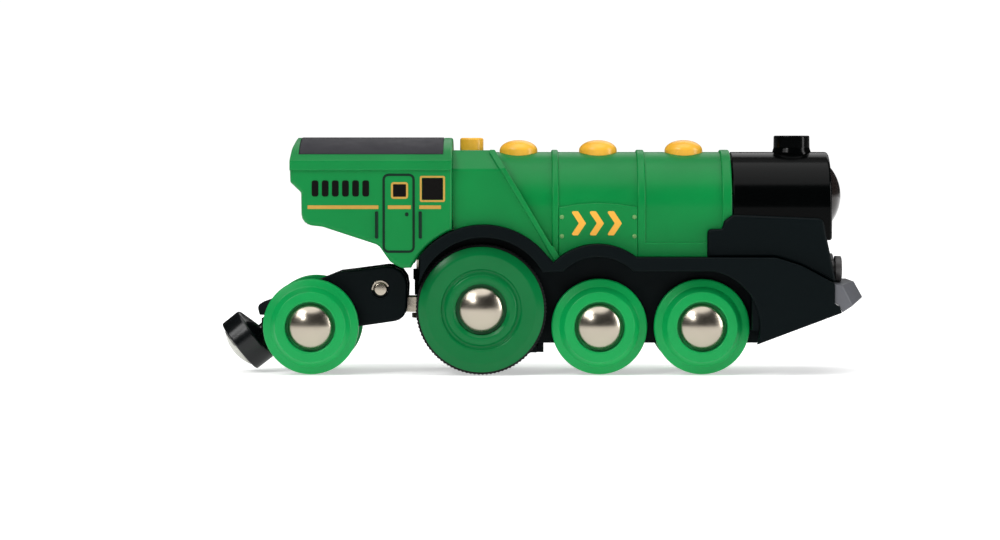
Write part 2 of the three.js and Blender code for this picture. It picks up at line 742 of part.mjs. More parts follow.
/** A domed button, from its flange under the crown to its dome; local Z is up. */
function domedButton() {
  const profile = [
    [0, 45.7], [4.9, 45.7], [4.9, FLANGE_TOP], [BUTTONS.r, FLANGE_TOP], [BUTTONS.r, 50.9],
    [3.9, 51.4], [2.4, 52.1], [0, 52.4],
  ];
  return turned(profile, 20).rotate([90, 0, 0]);
}

function smallButton() {
  const { r, top } = SMALL_BUTTON;
  const profile = [
    [0, 45.7], [r + 1, 45.7], [r + 1, FLANGE_TOP], [r, FLANGE_TOP], [r, top - 0.4],
    [r - 0.4, top], [0, top],
  ];
  return turned(profile, 16).rotate([90, 0, 0]);
}

// ---------------------------------------------------------------- trailing truck

function truckFrame() {
  const side = [
    [-64.2, 15.2], [-63.5, 12.7], [-60.8, 9.8], [-58.2, 8], [-46, 8], [-40.6, 10.7],
    ...arc(-33.6, 15.2, 3.4, 265, 345, 4),
    [-29.7, 17],
    ...arc(-33.2, 21.2, 3.3, 0, 95, 5),
    [-42.8, 23], [-45.4, 22.7], [-50.3, 20.7], [-60.6, 16.5],
  ];
  const plan = [
    [-64.2, -3], [-57.5, -9.3], [-29, -9.3], [-29, 9.3], [-57.5, 9.3], [-64.2, 3],
  ];
  const knuckleRoom = slab(-66, KNUCKLE_X + 2.5, 10, 9.1, 12.9);
  return cut(
    across(side, -10, 10).intersect(upright(plan, 0, 30)),
    slab(-41, -28, 4.6, 5, 30),
    knuckleRoom,
    slab(-66, KNUCKLE_X - 1.7, 10, 5, 12.9),
    bar("y", AXLE_R + 0.25, -12, 12, [TRUCK.x, TRUCK.z]),
    bar("y", PITCH.r + 0.1, -12, 12, [PITCH.x, PITCH.z]),
    bar("z", 0.9, 5, 14.8, [KNUCKLE_X, 0], 16),
  );
}

/** The steel drawbar: an eye on the pivot screw, a bar, and a wide eye on the pitch pin. */
function drawbar() {
  const low = 13.5;
  const high = 17.1;
  const tongue = [[PIVOT.x, low], [PIVOT.x, high], [-33, high], [-34, low]];
  const rear = [
    [-31.8, low], [-31.8, high + 0.4], ...arc(PITCH.x, PITCH.z, 3, 40, 200, 8), [-37.2, 15],
    [-35.5, low],
  ];
  return cut(
    joined(
      bar("z", EYE_R, low, high, [PIVOT.x, 0]),
      across(tongue, -2.6, 2.6),
      across(rear, -4.2, 4.2),
    ),
    bar("z", PIVOT.screwR + 0.15, 10, 20, [PIVOT.x, 0]),
    bar("y", PITCH.r + 0.15, -6, 6, [PITCH.x, PITCH.z]),
  );
}

/** A clevis: its tongue turns on the vertical pin, its fork holds the coupler's stem. */
function couplerKnuckle() {
  const eye = bar("z", 2.1, 9.4, 12.6, [KNUCKLE_X, 0]);
  const [front, rear] = [KNUCKLE_X - 0.1, COUPLER.x - 1.3];
  const fork = bothSides([[front, 9.4], [front, 12.4], [rear, 12.1], [rear, 9.4]], 1.4, 2.6);
  return cut(
    joined(eye, fork),
    bar("z", 0.95, 5, 20, [KNUCKLE_X, 0], 16),
    bar("y", 0.85, -5, 5, [COUPLER.x, COUPLER.z], 16),
    slab(-64, KNUCKLE_X - 1, 1.4, 5, 20),
  );
}

const CUP_BACK = 3.4; // from the coupler's pin to the back rim of the cup
const CUP_FACE = CUP_BACK + 4.9;
const CUP_R = 6.5;
const MAGNET_R = 4.9;

/** The coupler's cup and stem, from its pin along its own +Y. */
function couplerCup() {
  const bed = CUP_FACE - 2.3;
  const profile = [
    [0, 0], [1.2, 0], [1.2, CUP_BACK - 1.6], [2.6, CUP_BACK - 1.2], [CUP_R - 0.3, CUP_BACK - 0.1],
    [CUP_R, CUP_BACK + 0.2], [CUP_R, CUP_FACE - 0.3], [CUP_R - 0.3, CUP_FACE],
    [MAGNET_R + 0.3, CUP_FACE], [MAGNET_R + 0.3, bed], [0, bed],
  ];
  const eye = bar("x", 1.2, -1.15, 1.15, [0, 0], 16);
  return cut(
    joined(turned(profile, 20), eye.scale([1, 1.25, 1.25])),
    bar("x", 0.85, -3, 3, [0, 0], 16),
  );
}

/** The magnet's disc and domed face, from its back along its own +Y. */
const magnet = () => turned(
  [[0, 0], [MAGNET_R, 0], [MAGNET_R, 2.1], [4, 2.9], [2.2, 3.5], [0, 3.7]],
  20,
);

/** The cup and its magnet, turned so that their axis droops to the rear. */
function coupler() {
  const magnetMesh = piece("coupler_magnet", magnet(), zinc);
  magnetMesh.position.y = CUP_FACE - 2;
  const cupMesh = piece("coupler_cup", couplerCup(), matte);
  const made = group([COUPLER.x, 0, COUPLER.z], cupMesh, magnetMesh);
  made.rotation.order = "ZXY";
  made.rotation.z = Math.PI / 2;
  made.rotation.x = -THREE.MathUtils.degToRad(COUPLER.droop);
  return made;
}

// ---------------------------------------------------------------- assembly

const locomotive = new THREE.Group();

locomotive.add(
  piece("cab_shell", cabShell(), green),
  piece("roof_panel", roofPanel(), roofGrey),
  piece("boiler_shell", boilerShell(), green),
  piece("smokebox", smokebox(), gloss),
  piece("saddle", saddle(), matte),
  piece("chassis_frame", chassisFrame(), matte),
  piece("bottom_plate", bottomPlate(), matte),
  piece("buffer_beam", bufferBeam(), beamGrey),
  group([CHIMNEY_X, 0, 0], piece("chimney", chimney(), gloss)),
);

/** A piece turned about Y in its own frame, laid so that its +Y points along the engine. */
function facingForward(mesh, x, y, z) {
  mesh.rotation.z = -Math.PI / 2;
  mesh.position.set(x, y, z);
  return mesh;
}

locomotive.add(
  facingForward(piece("smokebox_lens", smokeboxLens(), smoked), SMOKEBOX.front + 0.15, 0, LENS.z),
  facingForward(piece("front_lamp_left", lamp(), beamGrey), LAMP.face, LAMP.y, LAMP.z),
  facingForward(piece("front_lamp_right", lamp(), beamGrey), LAMP.face, -LAMP.y, LAMP.z),
  facingForward(piece("speaker", speaker(), gloss), 55, 0, BOILER_Z),
  facingForward(piece("headlight_led", led(), gearWhite), 59.6, 0, LENS.z),
);

const plateScrews = PLATE_SCREWS.map((x, i) => {
  const name = ["plate_screw_rear", "plate_screw_front"][i];
  return group([x, 0, 7.6], piece(name, screw(SCREW_R - 0.15, 10, 2, 0.7), steel));
});
locomotive.add(
  ...plateScrews,
  group([SADDLE_SCREW_X, 0, 21.4], piece("saddle_screw", screw(SCREW_R, 9.5, 2.1, 1.2), steel)),
  group([PIVOT.x, 0, 13.2], piece("pivot_screw", screw(PIVOT.screwR, 15.6, 2.2, 1.1), steel)),
);

locomotive.add(
  wheelset("drive", DRIVE, driveWheel, wheelGreen),
  wheelset("middle", MIDDLE, smallWheel, wheelGreen),
  wheelset("front", FRONT, smallWheel, wheelGreen),
  wheelset("truck", TRUCK, smallWheel, wheelGreen),
);

const tyreLeft = piece("tyre_left", tyre(), rubber);
tyreLeft.position.y = WHEEL_MID - WHEEL_WIDTH / 2;
const tyreRight = piece("tyre_right", tyre(), rubber);
tyreRight.rotation.x = Math.PI;
tyreRight.position.y = -tyreLeft.position.y;
locomotive.add(
  group([DRIVE.x, 0, DRIVE.z], tyreLeft, tyreRight, piece("axle_gear", axleGear(), gearWhite)),
  group([IDLER.x, 0, IDLER.z], piece("compound_gear", compoundGear(), gearWhite)),
  piece("gear_shaft", bar("y", 1, -9.3, 9.3, [IDLER.x, IDLER.z], 16), steel),
  group([IDLER.x, 0, WORM_Z], piece("worm", worm(), brass)),
);

locomotive.add(
  piece("motor", motor(), zinc),
  group([CELL.x, CELL.y, CELL.z], piece("battery_left", cell(), cellJacket)),
  group([CELL.x, -CELL.y, CELL.z], piece("battery_right", cell(), cellJacket)),
  piece("battery_contact_rear", rearContact(), steel),
  piece("battery_contact_front", frontContact(), steel),
  piece("circuit_board", circuitBoard(), boardGreen),
);

BUTTONS.xs.forEach((x, i) => {
  locomotive.add(group([x, 0, 0], piece(`button_${BUTTONS.names[i]}`, domedButton(), orange)));
});
locomotive.add(
  group([SMALL_BUTTON.x, 0, 0], piece("button_small", smallButton(), orange)),
);

locomotive.add(
  piece("truck_frame", truckFrame(), matte),
  piece("drawbar", drawbar(), steel),
  piece("pitch_pin", bar("y", PITCH.r, -9.1, 9.1, [PITCH.x, PITCH.z]), steel),
  piece("knuckle", couplerKnuckle(), matte),
  piece("knuckle_pin", bar("z", 0.8, 8.2, 14.6, [KNUCKLE_X, 0], 16), steel),
  piece("coupler_pin", bar("y", 0.7, -2.5, 2.5, [COUPLER.x, COUPLER.z], 16), steel),
  coupler(),
);

export default locomotive;
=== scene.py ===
"""Looks for a battery-driven toy steam locomotive with a trailing truck and magnetic coupler.

Shapes are drawn in millimetres and scaled to metres when a piece is done. +X is forward, +Y is
the engine's left and +Z is up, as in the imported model.
"""

import math

import bmesh
import bpy
from mathutils import Matrix, Vector


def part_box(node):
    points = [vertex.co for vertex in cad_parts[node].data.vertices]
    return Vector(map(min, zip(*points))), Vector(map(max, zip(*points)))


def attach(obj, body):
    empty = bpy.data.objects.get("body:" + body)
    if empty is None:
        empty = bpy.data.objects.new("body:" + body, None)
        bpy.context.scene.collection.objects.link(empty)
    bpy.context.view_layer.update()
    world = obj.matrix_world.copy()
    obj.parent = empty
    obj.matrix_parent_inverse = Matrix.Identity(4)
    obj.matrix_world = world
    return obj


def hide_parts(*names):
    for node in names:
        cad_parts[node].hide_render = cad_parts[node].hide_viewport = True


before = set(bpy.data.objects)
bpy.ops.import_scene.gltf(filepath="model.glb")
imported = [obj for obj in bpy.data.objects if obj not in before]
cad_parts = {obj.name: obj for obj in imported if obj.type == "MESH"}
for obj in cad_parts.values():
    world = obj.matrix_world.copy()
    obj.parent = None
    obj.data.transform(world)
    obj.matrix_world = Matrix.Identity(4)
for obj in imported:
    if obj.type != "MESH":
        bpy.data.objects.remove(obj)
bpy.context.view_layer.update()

MM = 0.001
SMOOTH_ANGLE = math.radians(32)
BEVEL_ANGLE = math.radians(25)
NORMAL_WEIGHT = 80  # how far a corner's normal leans to its larger faces
MERGE_DISTANCE = 1e-4

# ---------------- driving dimensions

HALF_WIDTH = 17.0  # running boards
CAB_HALF = 16.4
ROOF_HALF = 16.9
FIREBOX_HALF = 14.5
SADDLE_HALF = 14.5
CLEAR_HALF = 18  # just outside the engine, for solids that only cut
WALL = 1.6
GAP = 0.3  # between mouldings that meet
BOILER_R = 12.5
BOILER_Z = 37.2
BAND_R = 13.0
ROOF_TOP = 52.9
ROOF_EDGE = 47.8
FASCIA_BOTTOM = 45.6
CAB_FRONT = -19.8
BOILER_REAR = -19.75
BOILER_FRONT = 42.6
BOARD_TOP = 26.2
BOARD_BOTTOM = 23.2
DRIVE_ARCH = (-12.9, 15.6)  # centres of the arches, x and z
MIDDLE_ARCH = (12.6, 15.2)
FRONT_ARCH = (35.9, 10.7)
TUB_HALF = 9.6
TUB_INNER = 8.1
NOSE_X = 65.1
PIVOT_X = -27
AXLE_HOLE_R = 1.75
PIVOT_HOLE_R = 1.35
SADDLE_SCREW_X = 52
SADDLE_SCREW_HOLE_R = 1.25
PLATE_SCREW_XS = (4.5, 24.4)
LAMP_Y = 9.5
LAMP_Z = 23.5
SIDES = (-1, 1)


def middle(node):
    """The centre of a CAD node's box, in millimetres."""
    low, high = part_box(node)
    return (low + high) / 2 / MM


# ---------------- outlines


def arc(u, v, r, start, end, steps=16):
    """Points on an arc, in degrees from the first axis."""
    angles = [math.radians(start + (end - start) * i / steps) for i in range(steps + 1)]
    return [(u + r * math.cos(a), v + r * math.sin(a)) for a in angles]


def rounded(corners, steps=4):
    """An outline of (u, v) or (u, v, radius) corners, with each radius drawn as an arc."""
    count = len(corners)
    points = []
    for i, corner in enumerate(corners):
        here = Vector(corner[:2])
        radius = corner[2] if len(corner) > 2 else 0
        if radius == 0:
            points.append(tuple(here))
            continue
        before = Vector(corners[i - 1][:2])
        after = Vector(corners[(i + 1) % count][:2])
        to_before = (before - here).normalized()
        to_after = (after - here).normalized()
        half = math.acos(max(-1, min(1, to_before.dot(to_after)))) / 2
        reach = radius / math.tan(half)
        # An arc takes less than half of either side, so that it never meets the next one.
        room = 0.49 * min((before - here).length, (after - here).length)
        if reach > room:
            radius *= room / reach
            reach = room
        bisector = (to_before + to_after).normalized()
        centre = here + bisector * radius / math.sin(half)
        first = here + to_before * reach - centre
        last = here + to_after * reach - centre
        sweep = first.angle_signed(last)
        for k in range(steps + 1):
            turn = Matrix.Rotation(-sweep * k / steps, 2)
            points.append(tuple(centre + turn @ first))
    return points


def inset(corners, distance):
    """A counterclockwise outline's corners moved inwards, with their radii changed to suit."""
    moved = []
    count = len(corners)
    for i, corner in enumerate(corners):
        before, here, after = (Vector(corners[j % count][:2]) for j in (i - 1, i, i + 1))
        enter = (here - before).normalized()
        leave = (after - here).normalized()
        normal_in = Vector((-enter.y, enter.x))
        bisector = (normal_in + Vector((-leave.y, leave.x))).normalized()
        place = here + bisector * distance / max(bisector.dot(normal_in), 0.4)
        if len(corner) > 2:
            convex = enter.cross(leave) > 0
            radius = max(0.03, corner[2] - distance if convex else corner[2] + distance)
            moved.append((*place, radius))
        else:
            moved.append(tuple(place))
    return moved


def counterclockwise(outline):
    """The outline, reversed if it runs clockwise."""
    area = 0
    for i, corner in enumerate(outline):
        before = outline[i - 1]
        area += before[0] * corner[1] - corner[0] * before[1]
    return list(outline) if area > 0 else list(reversed(outline))


def mirrored(half):
    """An outline's half with positive u, completed by its mirror image."""
    return list(half) + [(-corner[0], *corner[1:]) for corner in reversed(half)]


# ---------------- solids


def new_object(bm, name="solid"):
    """Turns a bmesh into an object in the scene, with its faces turned outwards."""
    bmesh.ops.remove_doubles(bm, verts=bm.verts, dist=MERGE_DISTANCE)
    bmesh.ops.recalc_face_normals(bm, faces=bm.faces)
    mesh = bpy.data.meshes.new(name)
    bm.to_mesh(mesh)
    bm.free()
    made = bpy.data.objects.new(name, mesh)
    bpy.context.scene.collection.objects.link(made)
    return made


def stack(rings):
    """A closed surface through rings with the same number of points."""
    bm = bmesh.new()
    rows = [[bm.verts.new(point) for point in ring] for ring in rings]
    count = len(rows[0])
    for low, high in zip(rows, rows[1:]):
        for j in range(count):
            k = (j + 1) % count
            bm.faces.new((low[j], low[k], high[k], high[j]))
    bm.faces.new(reversed(rows[0]))
    bm.faces.new(rows[-1])
    return bm


def prism(outline, start, end, place, rim, steps=4):
    """An outline between two planes; rim is the radius of the rounding at each of its ends."""
    outline = counterclockwise(outline)
    rim_start, rim_end = rim if isinstance(rim, tuple) else (rim, rim)
    levels = []
    for k in range(steps, -1, -1) if rim_start else (0,):
        a = math.radians(90 * k / steps)
        levels.append((rim_start * (1 - math.cos(a)), start + rim_start * (1 - math.sin(a))))
    for k in range(steps + 1) if rim_end else (0,):
        a = math.radians(90 * k / steps)
        levels.append((rim_end * (1 - math.cos(a)), end - rim_end * (1 - math.sin(a))))
    rings = []
    for distance, height in levels:
        points = rounded(inset(outline, distance))
        rings.append([place(u, v, height) for u, v in points])
    return new_object(stack(rings))


def across(outline, y0, y1, rim=0):
    """An outline of (x, z) points, across the engine."""
    return prism(outline, y0, y1, lambda u, v, w: (u, w, v), rim)


def along(outline, x0, x1, rim=0):
    """An outline of (y, z) points, along the engine."""
    return prism(outline, x0, x1, lambda u, v, w: (w, u, v), rim)


def upright(outline, z0, z1, rim=0):
    """An outline of (x, y) points, upwards."""
    return prism(outline, z0, z1, lambda u, v, w: (u, v, w), rim)


def box(x0, x1, y0, y1, z0, z1, rim=0):
    """A block between two corners."""
    return upright([(x0, y0), (x1, y0), (x1, y1), (x0, y1)], z0, z1, rim)


def slab(x0, x1, half, z0, z1, rim=0):
    """A block that reaches equally far to the left and to the right."""
    return box(x0, x1, -half, half, z0, z1, rim)


# Each matrix turns a profile's axis, z, to the named one.
AXES = {
    "x": Matrix(((0, 0, 1), (1, 0, 0), (0, 1, 0))),
    "y": Matrix(((1, 0, 0), (0, 0, 1), (0, 1, 0))),
    "z": Matrix.Identity(3),
}


def turned(profile, centre, axis="y", side=1, segments=72):
    """A profile of (radius, height) points turned about an axis through a centre point.

    A profile that doesn't begin and end on the axis is taken as closed, which makes a ring.
    """
    on_axis = profile[0][0] == 0 and profile[-1][0] == 0
    bm = bmesh.new()
    rows = []
    for r, h in profile:
        if r == 0:
            rows.append([bm.verts.new((0, 0, h * side))])
            continue
        turns = [2 * math.pi * j / segments for j in range(segments)]
        row = [bm.verts.new((r * math.cos(a), r * math.sin(a), h * side)) for a in turns]
        rows.append(row)
    pairs = list(zip(rows, rows[1:]))
    if not on_axis:
        pairs.append((rows[-1], rows[0]))
    for low, high in pairs:
        for j in range(segments):
            k = (j + 1) % segments
            if len(low) == 1 and len(high) == 1:
                break
            if len(low) == 1:
                bm.faces.new((low[0], high[k], high[j]))
            elif len(high) == 1:
                bm.faces.new((low[j], low[k], high[0]))
            else:
                bm.faces.new((low[j], low[k], high[k], high[j]))
    turn = AXES[axis] if isinstance(axis, str) else axis
    bm.transform(Matrix.Translation(centre) @ turn.to_4x4())
    return new_object(bm)


def bar(axis, r, start, end, centre=(0, 0, 0), rim=0, segments=40):
    """A round bar along an axis; start and end are measured from the centre."""
    profile = rounded([(0, start), (r, start, rim), (r, end, rim), (0, end)])
    return turned(profile, centre, axis, segments=segments)


def soften(obj, width):
    """Rounds the sharp edges of a simple solid."""
    bevel = obj.modifiers.new("soften", "BEVEL")
    bevel.width = width
    bevel.segments = 3
    bevel.limit_method = "ANGLE"
    bevel.angle_limit = BEVEL_ANGLE
    apply_modifiers(obj)


def drop(objects):
    """Deletes objects and their meshes."""
    for old in objects:
        mesh = old.data
        bpy.data.objects.remove(old)
        bpy.data.meshes.remove(mesh)


def apply_modifiers(obj):
    """Gives an object the mesh that its modifiers make."""
    bpy.context.view_layer.update()
    graph = bpy.context.evaluated_depsgraph_get()
    mesh = bpy.data.meshes.new_from_object(obj.evaluated_get(graph))
    obj.modifiers.clear()
    old = obj.data
    obj.data = mesh
    bpy.data.meshes.remove(old)


def combined(body, tools, operation):
    """Changes a body by a Boolean with each tool in turn; the tools are used up."""
    for tool in tools:
        modifier = body.modifiers.new("combine", "BOOLEAN")
        modifier.operation = operation
        modifier.solver = "MANIFOLD"
        modifier.object = tool
    apply_modifiers(body)
    drop(tools)
    return body


def joined(body, *tools):
    """The body and the tools as one solid."""
    return combined(body, tools, "UNION")


def cut(body, *tools):
    """The body without the tools."""
    return combined(body, tools, "DIFFERENCE")


def common(body, *tools):
    """What the body and the tools share."""
    return combined(body, tools, "INTERSECT")


def both_sides(outline, inner, outer, rim=0):
    """The same (x, z) outline on the left and on the right of the engine."""
    return joined(across(outline, inner, outer, rim), across(outline, -outer, -inner, rim))


# ---------------- materials

MIX_FACTOR, MIX_A, MIX_B, MIX_RESULT = 0, 6, 7, 2  # sockets of a colour mix node
NOISE_LOW, NOISE_HIGH = 0.3, 0.7
GLOSS_SHIFT = 0.12
BUMP_STRENGTH = 0.35
COAT_ROUGHNESS = 0.12


def linear(hex_colour):
    """A hex sRGB colour as a linear colour."""
    parts = [int(hex_colour[i : i + 2], 16) / 255 for i in (0, 2, 4)]
    return [c / 12.92 if c <= 0.04045 else ((c + 0.055) / 1.055) ** 2.4 for c in parts]


def add_noise(nodes, links, coords, scale, detail=3.0):
    """A noise texture in the object's own coordinates."""
    noise = nodes.new("ShaderNodeTexNoise")
    noise.inputs["Scale"].default_value = scale
    noise.inputs["Detail"].default_value = detail
    links.new(coords.outputs["Object"], noise.inputs["Vector"])
    return noise


def add_range(nodes, links, source, low, high):
    """Stretches the middle of a noise to run from low to high."""
    spread = nodes.new("ShaderNodeMapRange")
    spread.inputs["From Min"].default_value = NOISE_LOW
    spread.inputs["From Max"].default_value = NOISE_HIGH
    spread.inputs["To Min"].default_value = low
    spread.inputs["To Max"].default_value = high
    links.new(source, spread.inputs["Value"])
    return spread


def finish_material(
    name,
    colour,
    roughness,
    metallic=0.0,
    shift=0.06,
    cloud=90.0,
    grain=2600.0,
    grain_height=0.004,
    coat=0.0,
    specular=0.5,
):
    """Moulded or turned stock: soft clouds in the colour and gloss, and a fine surface grain."""
    material = bpy.data.materials.new(name)
    material.use_nodes = True
    nodes, links = material.node_tree.nodes, material.node_tree.links
    shader = nodes["Principled BSDF"]
    coords = nodes.new("ShaderNodeTexCoord")

    clouds = add_noise(nodes, links, coords, cloud)
    base = linear(colour)
    mix = nodes.new("ShaderNodeMix")
    mix.data_type = "RGBA"
    mix.inputs[MIX_A].default_value = [c * (1 - shift) for c in base] + [1]
    mix.inputs[MIX_B].default_value = [min(1, c * (1 + shift)) for c in base] + [1]
    factor = add_range(nodes, links, clouds.outputs["Fac"], 0, 1)
    links.new(factor.outputs[0], mix.inputs[MIX_FACTOR])
    links.new(mix.outputs[MIX_RESULT], shader.inputs["Base Color"])

    smears = add_noise(nodes, links, coords, cloud * 3.1, 5)
    glossier, rougher = roughness * (1 - GLOSS_SHIFT), roughness * (1 + GLOSS_SHIFT)
    gloss = add_range(nodes, links, smears.outputs["Fac"], glossier, rougher)
    links.new(gloss.outputs[0], shader.inputs["Roughness"])

    fine = add_noise(nodes, links, coords, grain, 2)
    bump = nodes.new("ShaderNodeBump")
    bump.inputs["Strength"].default_value = BUMP_STRENGTH
    bump.inputs["Distance"].default_value = grain_height * MM
    links.new(fine.outputs["Fac"], bump.inputs["Height"])
    links.new(bump.outputs["Normal"], shader.inputs["Normal"])

    shader.inputs["Metallic"].default_value = metallic
    shader.inputs["Specular IOR Level"].default_value = specular
    shader.inputs["Coat Weight"].default_value = coat
    shader.inputs["Coat Roughness"].default_value = COAT_ROUGHNESS
    return material


green = finish_material("green_moulding", "027f3b", 0.36, specular=0.2)
green_wheel = finish_material("wheel_green", "06984b", 0.36, specular=0.25)
green_drive = finish_material("drive_green", "066a35", 0.2, specular=0.17)
gloss_black = finish_material("gloss_black", "020303", 0.16, shift=0.1, specular=0.09)
matte_black = finish_material("matte_black", "020a0c", 0.5, grain_height=0.01, specular=0.08)
roof_grey = finish_material("roof_grey", "313035", 0.5, specular=0.1)
beam_grey = finish_material("beam_grey", "5d5e63", 0.35, specular=0.4)
orange = finish_material("button_orange", "ffbc3c", 0.3, specular=0.4)
rubber = finish_material("tyre_rubber", "0c0d0e", 0.65, grain_height=0.02, specular=0.2)
steel = finish_material("steel", "aca395", 0.24, metallic=1.0, shift=0.08, grain=900)
zinc = finish_material("magnet", "b4b4ac", 0.3, metallic=1.0, shift=0.12, grain=900)
brass = finish_material("brass", "c9a24a", 0.3, metallic=1.0)
smoked = finish_material("smoked_lens", "1c1614", 0.14, specular=0.3)
board_green = finish_material("board", "0f5a32", 0.45)
gear_white = finish_material("gear_white", "e6e2d6", 0.5)
jacket = finish_material("cell_jacket", "3a4a78", 0.35, coat=0.3)
print_orange = finish_material("print_orange", "bd9342", 0.5, specular=0.2)
print_black = finish_material("print_black", "050302", 0.35, specular=0.12)
print_dark = finish_material("print_dark", "05281a", 0.5, specular=0.15)
rivet_green = finish_material("rivet_green", "6a9a5a", 0.35, specular=0.3)
chevron_orange = finish_material("chevron_orange", "f6b23a", 0.45)
lamp_grey = finish_material("lamp_grey", "403e3e", 0.35, specular=0.4)
coupler_black = finish_material("coupler_black", "05080a", 0.22, specular=0.35)


# ---------------- finishing a piece


def finish(obj, name, material, body, replaced=()):
    """Scales a piece to metres, smooths its shading, and ties it to the frame."""
    obj.name = name
    obj.data.name = name
    obj.data.transform(Matrix.Scale(MM, 4))
    obj.data.shade_smooth()
    obj.data.set_sharp_from_angle(angle=SMOOTH_ANGLE)
    weighted = obj.modifiers.new("weighted", "WEIGHTED_NORMAL")
    weighted.keep_sharp = True
    weighted.weight = NORMAL_WEIGHT
    obj.data.materials.clear()
    obj.data.materials.append(material)
    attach(obj, body)
    if replaced:
        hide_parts(*replaced)


# ---------------- cab

ROOF_RISE = ROOF_TOP - ROOF_EDGE
ROOF_R = (ROOF_HALF**2 + ROOF_RISE**2) / (2 * ROOF_RISE)
ROOF_Z = ROOF_TOP - ROOF_R
TRUCK_ROOM = 25.3  # the truck swings below this height
PANEL = {"rear": -53.9, "front": -21.9, "half": 14.5, "thickness": 0.5, "gap": 0.12}


def barrel(r, half, steps=28):
    """The roof's arc in the (y, z) plane, from the engine's left to its right."""
    spread = math.degrees(math.asin(half / r))
    return arc(0, ROOF_Z, r, 90 - spread, 90 + spread, steps)


def cab_walls():
    """The side outline, raked underneath, with the rear overhang and the wheel's arch."""
    side = [
        (CAB_FRONT, 47),
        (-55.9, 47),
        (-55.8, 43, 0.8),
        (-53.4, 40.7, 1),
        (-53.3, 33.6, 3.2),
        (-48.7, 33.1, 2),
        (-36.2, 29, 2.5),
        (-33.6, 25.3, 2),
        (-31.2, 23.9, 2),
        *arc(*DRIVE_ARCH, 18.1, 152.5, 112.5, 16),
    ]
    return across(side, -CAB_HALF, CAB_HALF, rim=0.9)


def cab_roof():
    """The roof with its deep edges, rounded over at the rear."""
    section = [
        (ROOF_HALF, FASCIA_BOTTOM, 0.3),
        (ROOF_HALF, ROOF_EDGE, 0.5),
        *barrel(ROOF_R, ROOF_HALF)[1:-1],
        (-ROOF_HALF, ROOF_EDGE, 0.5),
        (-ROOF_HALF, FASCIA_BOTTOM, 0.3),
    ]
    rear_end = [
        (-18, 44),
        (-18, 54),
        (-54.75, 54),
        (-54.8, ROOF_TOP - 0.1, 0.6),
        (-55.6, 50.4, 3),
        (-55.9, 47.8, 3),
        (-55.9, 44),
    ]
    roof = along(section, -56.5, CAB_FRONT, rim=(0, 0.5))
    return common(roof, across(rear_end, -CLEAR_HALF, CLEAR_HALF))


def cab_inside():
    """The room inside the cab, a wall's thickness smaller all round."""
    side = [
        (CAB_FRONT - WALL, 54),
        (-53, 54),
        (-54.2, 48),
        (-54.1, 43.7),
        (-51.8, 41.4),
        (-51.7, 35.2),
        (-48.4, 34.7),
        (-35.5, 30.4),
        (-33, 27.6),
        (-31.6, TRUCK_ROOM + 1.5),
        (CAB_FRONT + 1, TRUCK_ROOM + 1.5),
        (CAB_FRONT + 1, 47),
        (CAB_FRONT - WALL, 47),
    ]
    half = CAB_HALF - WALL
    section = [(half, 20), *barrel(ROOF_R - WALL, half), (-half, 20)]
    return common(across(side, -CLEAR_HALF, CLEAR_HALF), along(section, -57, -18))


def roof_strip(bottom, top, half, gap=0, rim=0):
    """A strip that follows the roof, from bottom to top above its surface."""
    section = [*barrel(ROOF_R + bottom, half + gap), *reversed(barrel(ROOF_R + top, half + gap))]
    return along(section, PANEL["rear"] - gap, PANEL["front"] + gap, rim)


def make_cab():
    body = cut(joined(cab_walls(), cab_roof()), cab_inside())
    body = joined(body, bar("z", 2.4, 23.9, 31, (PIVOT_X, 0, 0)))
    body = cut(
        body,
        roof_strip(-PANEL["thickness"], 2, PANEL["half"], gap=PANEL["gap"]),
        slab(-34, -25, CAB_HALF - 2, 20, TRUCK_ROOM),
        bar("z", PIVOT_HOLE_R, 20, 29.6, (PIVOT_X, 0, 0)),
    )
    finish(body, "cab", green, "chassis", ["cab_shell"])
    panel = roof_strip(0.15 - PANEL["thickness"], 0.1, PANEL["half"], rim=0.12)
    finish(panel, "cab_roof_panel", roof_grey, "chassis", ["roof_panel"])


# ---------------- printed marks on the sides

PRINT = 0.05  # how far a print stands proud
PRINT_DEPTH = 0.3  # and how far it reaches into the moulding
LINE_Z = (37.05, 37.85)
LINE_XS = ((-51.9, -36.2), (-34.1, -29.0), (-27.1, -22.3))
VENT_XS = [-51.0 + 2.25 * i for i in range(6)]
VENT_WIDTH = 1.5
GRIP_XS = (-36.6, -26.9)


def rectangle(x0, x1, z0, z1, radius=0.05):
    """An (x, z) rectangle with rounded corners."""
    return [(x0, z0, radius), (x1, z0, radius), (x1, z1, radius), (x0, z1, radius)]


def print_on_sides(name, parts, half, material, body="chassis"):
    """Thin raised shapes on both sides. A part is an outline, or an outline and its hole."""
    shapes = []
    for part in parts:
        outline, hole = part if isinstance(part, tuple) else (part, None)
        for side in SIDES:
            near, far = sorted((side * (half - PRINT_DEPTH), side * (half + PRINT)))
            shape = across(outline, near, far)
            if hole:
                shape = cut(shape, across(hole, near - 1, far + 1))
            shapes.append(shape)
    finish(joined(*shapes), name, material, body)


def frame_of(x0, x1, z0, z1, width, radius):
    """A rectangle and the hole that leaves a frame of the given width."""
    outer = rectangle(x0, x1, z0, z1, radius)
    inner = rectangle(x0 + width, x1 - width, z0 + width, z1 - width, max(0.05, radius - width))
    return (outer, inner)


